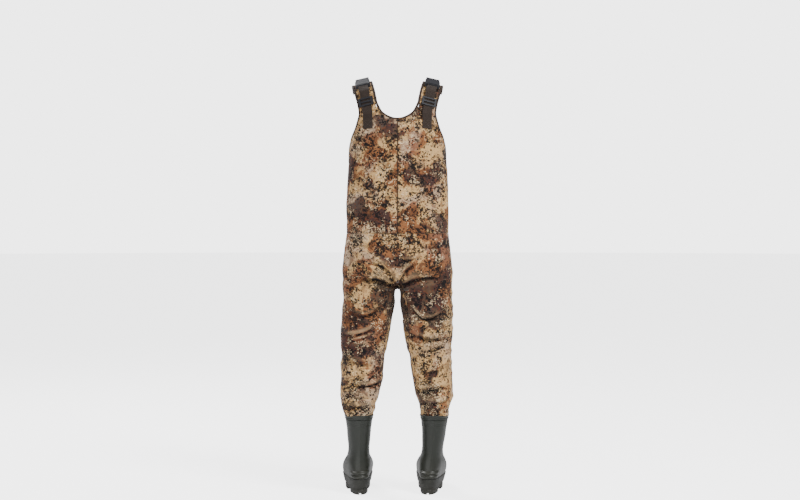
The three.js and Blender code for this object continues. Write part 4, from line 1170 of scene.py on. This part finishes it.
def addWebbing():
    half, thick = strap["webbing"][0] / 2, strap["webbing"][1] / 2
    section = roundSection(-half, half, -thick, thick, 7.0, 36)
    buckleAt, buckleTo = np.array(strap["buckleAt"], float), unit(strap["buckleTo"])
    end = strap["buckleLength"] / 2
    runLow, runHigh = (np.array(p, float) for p in strap["sliderRun"])
    hardware, buckleRoll = strap["hardwareRoll"], strap["buckleRoll"]
    back = [sewnAt(112.5, 1396, True), sewnAt(113, 1412, True), sewnAt(113.5, 1430, True, 3.2),
            *[runLow + (runHigh - runLow) * t for t in (0, 0.15, 0.5, 0.85, 1)],
            buckleAt - buckleTo * (end + 3), buckleAt - buckleTo * (end - 9)]
    front = [buckleAt + buckleTo * (end - 7), buckleAt + buckleTo * (end + 4), (137, -42, 1592),
             (134, -78, 1565), (124, -107, 1508), (112, -116, 1450), sewnAt(107, 1404, False, 3.6),
             sewnAt(106, 1380, False, 2.6), sewnAt(106, 1356, False), sewnAt(106, 1338, False)]
    for which, side in sides.items():
        rollBack = lambda t: hardware + (buckleRoll - hardware) * float(smoothStep(t, 0.76, 0.93))
        rollFront = lambda t: buckleRoll + (hardware - buckleRoll) * float(smoothStep(t, 0.1, 0.6))
        for label, points, roll in (("back", back, rollBack), ("front", front, rollFront)):
            at, across, out, lengths = webbingFrames(points, side, roll, 90)
            piece = sweep(f"{which}_{label}_webbing_strap", (at, across, out, lengths), section,
                          finishes["webbing"])
            if label == "back":
                sewnOn(piece, [f"{which}_back_webbing"])
            else:  # its free end follows the plug into the socket
                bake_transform(piece)
                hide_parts(f"{which}_front_webbing")
            ends = (3, 31) if label == "back" else (lengths[-1] - 3, lengths[-1] - 34)
            boxStitch(at, across, out, lengths, *ends, half - 3)
        for part, bevel in (("slider", 0.9), ("buckle_socket", 1.6), ("buckle_plug", 1.2),
                            ("latch_outer", 0.6), ("latch_inner", 0.6)):
            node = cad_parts[f"{which}_{part}"]
            paint(node, finishes["plastic"])
            rounded(node, bevel, 3)


def paint(node, finish):
    node.data.materials.clear()
    node.data.materials.append(finish)


addTapes()
addPads()
addWebbing()
print("straps made")


# rubber boots

boots = {
    "sections": [[27, 74, -217, 52, 1], [46, 79, -222, 56.5, 1], [64, 79, -217, 60.5, 1],
                 [82, 75, -198, 63, 0.9],
                 [98, 71, -165, 62.5, 0.8], [116, 66, -124, 57.5, 0.6], [142, 61, -82, 45.5, 0.25],
                 [175, 60, -61, 41, 0], [215, 64, -55, 44.5, 0], [260, 70, -53, 48.5, 0],
                 [300, 75, -52, 54.5, 0]],
    "left": {"x": 148.5, "lean": 1.0}, "right": {"x": 122.0, "lean": 21.5},
    "toeOut": 5.0, "wall": 3.6, "collar": 14.0, "soleTop": 27.0, "tread": 6.0, "arch": 12.0,
    "randTop": 60.3, "seamBead": 1.3, "instepFold": 1.5,
}


def bootOutline(which, z, angle):
    heel, toe, half, footness = [sectionValue(boots["sections"], k, z) for k in (1, 2, 3, 4)]
    middle, halfLength = (heel + toe) / 2, (heel - toe) / 2
    power = 2 / (2.15 + 0.25 * footness)
    c, s = signedPower(np.cos(angle), power), signedPower(np.sin(angle), power)
    along = (s + 1) / 2
    waist = 1 - footness * 0.26 * smoothStep(along, 0.3, 0.78)
    inside = np.where(c < 0, 1 - 0.1 * footness * np.exp(-((along - 0.55) / 0.2) ** 2), 1)
    x = half * c * waist * inside - footness * 7 * (1 - along) ** 2
    x = x + boots[which]["lean"] * smoothStep(z, 0, 290)
    return np.stack([x, middle + halfLength * s], -1)


def bootPlace(which, points):  # from the boot's own frame to the garment's
    side = sides[which]
    turn = math.radians(side * boots["toeOut"])
    x, y = points[..., 0] * side, points[..., 1]
    turned = np.stack([x * math.cos(turn) - y * math.sin(turn), x * math.sin(turn) + y * math.cos(turn),
                       points[..., 2]], -1)
    return turned + [side * boots[which]["x"], 0, 0]


def bootSkin(which, rows, angles, proud):
    ring = np.linspace(0, 2 * math.pi, 481)[:-1]
    points = []
    for i, z in enumerate(rows):
        outline = bootOutline(which, z, ring)
        step = np.roll(outline, -1, 0) - np.roll(outline, 1, 0)
        away = unit(np.stack([step[:, 1], -step[:, 0]], 1))
        xy = outline + away * proud(z, ring, outline)[:, None]
        closed = np.concatenate([xy, xy[:1]])
        wanted = np.concatenate([ring, [2 * math.pi]])
        points.append(np.column_stack([np.interp(angles, wanted, closed[:, 0]),
                                       np.interp(angles, wanted, closed[:, 1]), np.full(len(angles), z)]))
    return bootPlace(which, np.array(points))


def tube(name, which, rows, proud, thickness, finish, columns=132, span=None):
    turn = np.linspace(0, 2 * math.pi, columns, endpoint=False)
    if span is not None:
        turn = np.linspace(*span, columns)
    points = bootSkin(which, rows, turn, proud)
    wraps = span is None
    cells = columns if wraps else columns - 1
    faces = gridFaces(len(rows) - 1, cells, wraps=wraps, flip=sides[which] < 0)
    return thickened(makeMesh(name, points.reshape(-1, 3), faces, finish), thickness)


def shellProud(z, ring, outline):
    heel = np.abs((ring - math.pi / 2 + math.pi) % (2 * math.pi) - math.pi)
    bead = (boots["seamBead"] * np.exp(-(heel / 0.045) ** 2)
            * smoothStep(z, 92, 104) * (1 - smoothStep(z, 276, 286)))
    front = np.exp(-((ring - 1.5 * math.pi) / 0.9) ** 2)
    bends = (math.cos((z - 128) / 5.2) * np.exp(-((z - 131) / 17) ** 2)
             + 0.5 * math.cos((z - 168) / 7.0) * math.exp(-((z - 170) / 14) ** 2))
    toeCap = 1.1 * smoothStep(-outline[:, 1], 148, 151) * (1 - smoothStep(z, 92, 98))
    ribs = 0.7 * math.exp(-((z - 268) / 1.6) ** 2) + 0.7 * math.exp(-((z - 261) / 1.6) ** 2)
    around = np.stack([np.cos(ring) * 2, np.sin(ring) * 2, np.full(len(ring), z / 26)], -1)
    ankle = 0.5 * noiseField(around, 1.0, 4)
    return bead + boots["instepFold"] * front * bends + toeCap + ribs + ankle


def randProud(z, ring, outline):
    top = boots["randTop"]
    edge = 2.9 - 1.6 * float(smoothStep(z, top - 2.5, top)) + 0.5 * math.exp(-((z - 40) / 1.4) ** 2)
    toe = smoothStep(-outline[:, 1], 120, 190)
    return edge + toe * 0.8 * (0.5 + 0.5 * math.cos(z * 0.9))


def collarProud(z, ring, outline):
    beads = 1.6 * math.exp(-((z - 289) / 2.2) ** 2)
    return np.full(len(ring), 0.6 + beads + 1.5 * math.exp(-((z - 299) / 3.4) ** 2))


def counterProud(z, ring, outline):
    profile = [[61, 1.6], [64, 3], [67, 6.6], [71, 6.6], [76, 3], [80, 6.6], [84, 6.6], [88, 3], [91, 1.2]]
    away = np.abs((ring - math.pi / 2 + math.pi) % (2 * math.pi) - math.pi) / (math.pi / 4)
    return 0.6 + (sectionValue(profile, 1, z) - 0.6) * (1 - np.clip(away, 0, 1) ** 4)


def clipBand(outline, low, high):  # outline between two cross lines
    for sign, limit in ((1, low), (-1, -high)):
        kept = []
        for a, b in zip(outline, np.roll(outline, -1, 0)):
            da, db = sign * a[1] - limit, sign * b[1] - limit
            if da >= 0:
                kept.append(a)
            if da * db < 0:
                kept.append(a + (b - a) * da / (da - db))
        outline = np.array(kept)
    return outline


def outsole(which):
    ring = np.linspace(0, 2 * math.pi, 128, endpoint=False)
    shape = bmesh.new()

    def slab(outline, levels):  # levels: height and inset, from the ground up
        outline = np.asarray(outline)
        centre = outline.mean(0)
        loops = []
        for z, inset in levels:
            reach = np.linalg.norm(outline - centre, axis=1, keepdims=True)
            xy = centre + (outline - centre) * (1 - inset / np.maximum(reach, 1))
            heights = z(xy[:, 1]) if callable(z) else np.full(len(xy), z)
            placedPoints = toRow(bootPlace(which, np.column_stack([xy, heights])))
            loops.append([shape.verts.new(p) for p in placedPoints])
        for low, high in zip(loops, loops[1:]):
            for i in range(len(low)):
                k = (i + 1) % len(low)
                shape.faces.new((low[i], low[k], high[k], high[i]))
        shape.faces.new(loops[0][::-1])
        shape.faces.new(loops[-1])

    def under(y):
        rise = smoothStep(y, -66, -58) * (1 - smoothStep(y, -8, 0))
        return boots["tread"] + (boots["arch"] - boots["tread"]) * rise

    outline = bootOutline(which, boots["soleTop"], ring) * 0.985
    slab(outline, [(under, 1.2), (lambda y: under(y) + 1.4, 0.2), (17, -0.4), (18.4, 0.6), (20, 0.6),
                   (21.4, -0.6), (boots["soleTop"], -0.6)])
    marks = [-216, -190, -182, -164, -156, -138, -130, -112, -104, -86, -78, -63]
    bands = [*zip(marks[::2], marks[1::2]), (-3, 14), (21, 39), (45, 78)]
    for low, high in bands:
        part = clipBand(outline, low, high)
        halves = [part] if high < -10 else [
            clipBand(part[:, ::-1], *limits)[:, ::-1] for limits in ((-80, -3), (3, 80))]
        for half in halves:
            if len(half) > 3:
                slab(half, [(0, 2.0), (1.2, 1.0), (boots["tread"] + 0.6, 0.4)])
    bmesh.ops.recalc_face_normals(shape, faces=shape.faces)
    data = bpy.data.meshes.new(f"{which}_lugged_outsole")
    shape.to_mesh(data)
    shape.free()
    data.materials.append(finishes["soleRubber"])
    piece = bpy.data.objects.new(f"{which}_lugged_outsole", data)
    bpy.context.collection.objects.link(piece)
    return piece


def addBoots():
    collarLow = garment["bootTop"] - boots["collar"]
    shellRows = [27.5, 30, *np.arange(34, 96, 2.6), *np.arange(96, 190, 1.7), *np.arange(190, 256, 4),
                 *np.arange(256, 274, 0.9), 277, 281, collarLow]
    for which in sides:
        shell = tube(f"{which}_boot_shell_rubber", which, shellRows, shellProud, boots["wall"],
                     finishes["bootRubber"])
        sewnOn(shell, [f"{which}_boot_shell"])
        rand = tube(f"{which}_rand_rubber", which, [27.5, *np.arange(29, 57, 1.2), 57.5, 58.5, 59.3, 60.3],
                    randProud, 2.4, finishes["soleRubber"])
        sewnOn(rand, [f"{which}_rand"])
        collar = tube(f"{which}_boot_collar_rubber", which, [*np.arange(collarLow + 0.1, 303.4, 0.9)],
                      collarProud, boots["wall"], finishes["bootRubber"])
        sewnOn(collar, [f"{which}_boot_collar"])
        counter = tube(f"{which}_heel_counter_rubber", which, np.arange(61, 91.1, 0.8), counterProud, 0.5,
                       finishes["bootRubber"], 60, (math.pi / 4, 3 * math.pi / 4))
        sewnOn(counter, [f"{which}_heel_counter"])
        sewnOn(outsole(which), [f"{which}_outsole"])
        for inner, finish in (("boot_lining", "lining"), ("insole_board", "lining"), ("insole", "lining"),
                              ("steel_shank", "steel")):
            paint(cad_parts[f"{which}_{inner}"], finishes[finish])


addBoots()
print("boots made")


# knee pads, pockets and ring

chest = {
    "rimShade": (-1.2, -1.2, -1.0, -0.7),
    "pocket": {"low": 1120, "high": 1300, "halfTop": 92, "halfLow": 120, "stand": 15, "wall": 3},
    "pouch": {"low": 1145, "high": 1262, "half": 72, "stand": 12, "wall": 2.4},
    "flap": {"low": 1216, "high": 1280, "half": 78, "wall": 3, "lift": 37.0, "face": 19.4},
    "knee": {"low": 452, "high": 642, "halfAngle": 40, "from": 2.2, "to": 5.2},
    "ring": {"at": (0, -129, 1352), "halfBar": 14, "drop": 24, "rod": 2},
}


def chestSheet(rows, columns, place):
    lines = {}
    grid = np.empty((len(rows), len(columns), 3))
    for r, v in enumerate(rows):
        for c, u in enumerate(columns):
            z, distance, lift = place(u, v)
            key = round(z, 2)
            if key not in lines:
                line = quarterOutline(z, False)[::-1]
                lines[key] = (line, runLengths(line))
            line, lengths = lines[key]
            x = np.interp(abs(distance), lengths, line[:, 0])
            y = np.interp(abs(distance), lengths, line[:, 1])
            at = np.array([math.copysign(x, distance) if distance else x, y, z])
            grid[r, c] = at + torsoNormal(at, False) * lift
    return grid


def sheetPiece(name, grid, finish, wall):
    faces = gridFaces(len(grid) - 1, len(grid[0]) - 1)
    normals = gridNormals(grid)
    if normals[..., 1].mean() > 0:
        faces = faces[:, ::-1]
    rim = np.zeros(grid.shape[:2])
    for depth, value in enumerate(chest["rimShade"]):  # the sewn-down rim lies in its own shadow
        ring = np.zeros(rim.shape, bool)
        ring[depth] = ring[-1 - depth] = ring[:, depth] = ring[:, -1 - depth] = True
        rim[ring & (rim == 0)] = value
    piece = makeMesh(name, grid.reshape(-1, 3), faces, finish, crease=rim)
    thickened(piece, wall)
    return piece


def stand(toEdge, way):
    return float(smoothStep(toEdge, 0, way))


def rumple(grid, amount, seed):
    normals = gridNormals(grid)
    normals = -normals if normals[..., 1].mean() > 0 else normals
    field = noiseField(grid * [0.8, 0.6, 1.2], 1 / 42, seed) + 0.5 * noiseField(grid, 1 / 17, seed + 1)
    return grid + normals * (field * amount)[..., None]


def addPockets():
    pocket, pouch, flap = chest["pocket"], chest["pouch"], chest["flap"]

    def pocketPlace(u, v):
        z = pocket["low"] + (pocket["high"] - pocket["low"]) * v
        half = pocket["halfLow"] + (pocket["halfTop"] - pocket["halfLow"]) * v
        bow = 1 - 0.03 * (1 - (2 * v - 1) ** 2)  # the mouths are pulled in a little
        rise = 0.8 + pocket["stand"] * stand(min(v, 1 - v), 0.12) + pocket["wall"]
        return z, half * u * bow, rise

    rows, columns = clustered(40, 0.04), clustered(44, 0.03) * 2 - 1
    grid = rumple(chestSheet(rows, columns, pocketPlace), 0.7, 21)
    sheet = sewnOn(sheetPiece("hand_warmer_pocket_cloth", grid, cloths["pocket"], pocket["wall"]),
                   ["hand_warmer_pocket"])
    for row in (1, -2):
        stitchAlong(grid[row], np.array([0, -1, 0]), 0.3)
    mouths = []
    for end in (0, -1):
        at = grid[3:-3, end]
        inward = unit(grid[3:-3, end + (2 if end == 0 else -2)] - at)
        away = unit(np.cross(inward, unit(np.gradient(at, axis=0))))
        away *= np.where(away[:, 1:2] > 0, -1, 1)
        section = roundSection(-1.2, 8.0, -pocket["wall"] - 0.7, 0.7, 3.4)
        tape = sweep(f"pocket_mouth_tape_{'right' if end == 0 else 'left'}",
                     (at, inward, away, runLengths(at)), section, finishes["tape"])
        mouths.append(sewnOn(tape, []))
        stitchAlong(at + inward * 6.6, away, 0.75)

    def pouchPlace(u, v):
        z = pouch["low"] + (pouch["high"] - pouch["low"]) * v
        rise = 19.4 + pouch["stand"] * stand(min(v, (1 - abs(u)) * 0.9), 0.13) + pouch["wall"]
        return z, pouch["half"] * u, rise

    grid = rumple(chestSheet(clustered(34, 0.04), clustered(40, 0.03) * 2 - 1, pouchPlace),
                  0.5, 27)
    pouchSheet = sewnOn(sheetPiece("storage_pouch_cloth", grid, cloths["pouch"], pouch["wall"]),
                        ["storage_pouch"])
    for line in (grid[1], grid[:, 1], grid[:, -2]):
        stitchAlong(line, np.array([0, -1, 0]), 0.3)
    profile = [[flap["low"], flap["lift"]], [1258, flap["lift"]], [1266, flap["lift"] - 1],
               [1273, flap["lift"] - 7], [flap["high"], flap["face"]]]
    heights, lifts = zip(*profile)

    def flapPlace(u, v):
        z = flap["low"] + (flap["high"] - flap["low"]) * v
        corner = 1 - 0.10 * max(0.0, 1 - v / 0.22) ** 2
        return z, flap["half"] * u * corner, float(np.interp(z, heights, lifts)) + flap["wall"]

    grid = rumple(chestSheet(clustered(26, 0.05), clustered(40, 0.03) * 2 - 1, flapPlace), 0.35, 33)
    cover = sheetPiece("pouch_flap_cloth", grid, cloths["flap"], flap["wall"] - 0.1)
    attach(cover, "flap_body")
    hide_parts("pouch_flap")
    rim = np.concatenate([grid[-4:0:-1, 1], grid[1, 1:-1], grid[1:-3, -2]])
    rim = evenly(rim, 90)
    away = np.broadcast_to([0.0, -1, 0], rim.shape)
    inward = unit(np.cross(unit(np.gradient(rim, axis=0)), away))
    tape = sweep("pouch_flap_edge_tape", (rim, inward, away, runLengths(rim)),
                 roundSection(-1.6, 6.4, -flap["wall"] - 0.5, 0.6, 3.4), finishes["tape"])
    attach(tape, "flap_body")
    stitchAlong(rim + inward * 5.2, away, 0.65, "flap_body")
    for node in ("flap_hook_strip", "pouch_loop_strip"):
        paint(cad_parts[node], finishes["hook"])
    return sheet, pouchSheet, cover


def kneePad(which):
    knee = chest["knee"]
    rows, columns = clustered(40, 0.05), clustered(36, 0.05) * 2 - 1
    grid = np.empty((len(rows), len(columns), 3))
    for r, v in enumerate(rows * 2 - 1):
        z = (knee["low"] + knee["high"]) / 2 + (knee["high"] - knee["low"]) / 2 * v
        line = legOutline(which, z, False)
        reach = knee["halfAngle"] / 180 * (1 - 0.45 * v**4)
        share = 0.5 - reach * columns
        xy = alongLine(line, share * runLengths(line)[-1])
        step = np.gradient(xy, axis=0)
        away = unit(np.stack([-step[:, 1], step[:, 0]], 1))
        away = away if away[len(away) // 2, 1] < 0 else -away
        edge = np.minimum(1 - np.abs(columns), 1 - abs(v))
        puff = 2.4 * smoothStep(edge, 0, 0.1) + 1.6 * smoothStep(edge, 0.05, 0.7)
        channel = 0.9 * np.exp(-((v * 95 + 24) / 2.4) ** 2) + 0.9 * np.exp(-((v * 95 - 24) / 2.4) ** 2)
        xy = xy + away * (knee["from"] + puff - channel * smoothStep(edge, 0.02, 0.1))[:, None]
        grid[r] = np.column_stack([xy, np.full(len(columns), z)]) * [sides[which], 1, 1]
    piece = sheetPiece(f"{which}_knee_pad_cloth", grid, cloths["knees"], knee["from"])
    sewnOn(piece, [f"{which}_knee_pad"])
    for line in (grid[1], grid[-2], grid[:, 1], grid[:, -2]):
        stitchAlong(line, np.array([0, -1, 0]), 0.5)
    return piece


def ringPieces():
    ring = chest["ring"]
    halfBar, drop = ring["halfBar"], ring["drop"]
    points = [[x, 0, 0] for x in np.linspace(-halfBar + 2, halfBar - 2, 9)]
    points += [[halfBar * math.cos(t), 0, -3 - (drop - 3) * math.sin(t)] for t in np.linspace(0, math.pi, 25)]
    line = splinePoints([*points, points[0]], 4)[:-1]
    along = unit(np.roll(line, -1, 0) - np.roll(line, 1, 0))
    inPlane = np.stack([along[:, 2], 0 * along[:, 0], -along[:, 0]], 1)
    turn = np.linspace(0, 2 * math.pi, 14, endpoint=False)
    grid = (line[:, None] + inPlane[:, None] * (ring["rod"] * np.cos(turn))[None, :, None]
            + np.array([0, 1, 0]) * (ring["rod"] * np.sin(turn))[None, :, None]) + ring["at"]
    count = len(turn)
    faces = [[r * count + c, r * count + (c + 1) % count, (r + 1) % len(line) * count + (c + 1) % count,
              (r + 1) % len(line) * count + c] for r in range(len(line)) for c in range(count)]
    piece = makeMesh("d_ring_rod", grid.reshape(-1, 3), faces, finishes["steel"])
    shape = bmesh.new()
    shape.from_mesh(piece.data)
    bmesh.ops.recalc_face_normals(shape, faces=shape.faces)
    shape.to_mesh(piece.data)
    shape.free()
    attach(piece, "ring_body")
    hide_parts("d_ring")
    at = np.array(ring["at"], float)
    reach = ring["rod"] + 1.35
    outer = [[0, 3.7, 24.5], [0, 0.2, 12], [0, -reach, 2.4]]
    outer += [[0, -reach * math.cos(t), -reach * math.sin(t)] for t in np.linspace(0.25, math.pi - 0.25, 9)]
    outer += [[0, reach, 2.4], [0, 3.6, 12], [0, 5.7, 24.5]]
    line = splinePoints(outer, 6) + at
    along = unit(np.gradient(line, axis=0))
    across = np.broadcast_to([1.0, 0, 0], line.shape)
    tab = sweep("ring_tab_webbing", (line, across, np.cross(across, along), runLengths(line)),
                roundSection(-8, 8, -0.8, 0.8, 6.0, 24), finishes["webbing"])
    sewnOn(tab, ["ring_tab"])
    for x in (-6, 6):
        upright = np.array([[x, 1.0 + 0.2 * k, 11 + k] for k in range(0, 12, 2)])
        stitchLines["garment"].append(at + upright + [0, -2.6, 0])
    for z in (11, 22):
        level = np.array([[x, -1.4 + 0.22 * (z - 11), z] for x in range(-6, 7, 2)])
        stitchLines["garment"].append(at + level)


addPockets()
for which in sides:
    kneePad(which)
ringPieces()
print("pockets, knee pads and ring made")


# sewing thread

def seamLines():  # thread beside the seams that join the body panels
    waist = garment["waist"]
    for behind in (True, False):
        for lift in (4.0, -4.0):
            for which, side in sides.items():
                z = waist + lift
                line = halfOutline(which, z, behind)
                at = np.column_stack([line, np.full(len(line), z)])
                stitchLines["garment"].append(onCloth(at[3:-1], behind, 0.2))
    for which, side in sides.items():
        for behind in (True, False):
            heights = np.arange(306, garment["gussetTop"] - 4, 4.0)
            for off in (4.2, -4.2):
                at = []
                for z in heights:
                    line = halfOutline(which, z, behind)
                    total = runLengths(line)[-1]
                    place = gussetEdge(z) * total - off
                    at.append([*alongLine(line, min(place, total)), z])
                stitchLines["garment"].append(onCloth(np.array(at), behind, 0.2))
            heights = np.arange(306, 1296, 4.0)
            at = []
            for z in heights:
                line = halfOutline(which, z, behind)
                at.append([*alongLine(line, 4.2), z])
            stitchLines["garment"].append(onCloth(np.array(at), behind, 0.2))
    heights = np.arange(waist + 4, 1432, 4.0)
    for x in (-4.2, 4.2):
        at = np.array([onGirth(x, z, True) for z in heights])
        stitchLines["garment"].append(onCloth(at, True, 0.2))
    at = onCloth(np.array([onGirth(0, z, True) for z in heights]), True, 0.1)
    across = np.broadcast_to([1.0, 0, 0], at.shape)
    band = sweep("centre_back_seam_thread", (at, across, np.cross(across, unit(np.gradient(at, axis=0))),
                                             runLengths(at)), roundSection(-1.5, 1.5, -0.5, 0.45), finishes["tape"])
    sewnOn(band, [])


def onCloth(points, behind, lift):  # lifts points of the undisturbed outline on to the folded cloth
    points = np.asarray(points, float)
    z = points[:, 2]
    quiet = np.where(z > 1270, 0.0, 1.0)
    middle = np.where(z < garment["crotch"], np.sign(points[:, 0]) * 118, points[:, 0] * 0.45)
    away = unit(np.stack([points[:, 0] - middle, points[:, 1], np.zeros(len(z))], 1) * [1, 1.6, 0])
    near = garment["seamDepth"] * math.exp(-(4.2 / garment["seamWidth"]) ** 2)
    return points + away * (folds(points, behind, quiet) - near + lift)[:, None]


def addStitches():
    ring = np.array([[0, 1], [0.87, -0.5], [-0.87, -0.5]])
    for owner, lines in stitchLines.items():
        points, faces = [], []
        for line in lines:
            lengths = runLengths(line)
            count = int(lengths[-1] / stitch["gap"])
            if count < 1:
                continue
            starts = np.arange(count) * stitch["gap"] + 0.6
            for begin in starts:
                a, b = alongLine(line, begin), alongLine(line, begin + stitch["length"])
                run = unit(b - a)
                side = unit(np.cross(run, [0.31, 0.2, 0.93]))
                up = np.cross(side, run)
                first = len(points)
                points += [a, b]
                for share in (0.25, 0.75):
                    middle = a + (b - a) * share
                    points += [middle + (side * p + up * q) * stitch["radius"] for p, q in ring]
                for k in range(3):
                    n = (k + 1) % 3
                    faces += [[first, first + 2 + n, first + 2 + k], [first + 1, first + 5 + k, first + 5 + n],
                              [first + 2 + k, first + 2 + n, first + 5 + n, first + 5 + k]]
        piece = makeMesh(f"sewing_thread_{owner}", np.array(points), faces, finishes["thread"])
        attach(piece, owner)


seamLines()
addStitches()
print("stitched")


# floor, size and finish

def makeFloor():
    bpy.ops.mesh.primitive_circle_add(vertices=96, radius=40, fill_type="NGON", location=(0, 0, 0))
    floor = bpy.context.object
    floor.name = "floor"
    material, tree, shader, place = newFinish("paleFloor", 0.8)
    cloud = noiseOf(tree, place, 3.0, 2.0)
    paving = mixColour(tree, cloud, tone(240, 240, 241), tone(236, 236, 238))
    tree.links.new(paving, shader.inputs["Base Color"])
    glow = build(tree, "ShaderNodeEmission", None, Color=(1, 1, 1, 1))
    seen = build(tree, "ShaderNodeLightPath").outputs["Is Camera Ray"]
    tree.links.new(arithmetic(tree, "MULTIPLY", seen, backdrop["glow"] - 0.9), glow.inputs["Strength"])
    both = build(tree, "ShaderNodeAddShader", None, i0=shader.outputs[0], i1=glow.outputs[0])
    tree.links.new(both.outputs[0], tree.nodes["Material Output"].inputs["Surface"])
    floor.data.materials.append(material)


makeFloor()
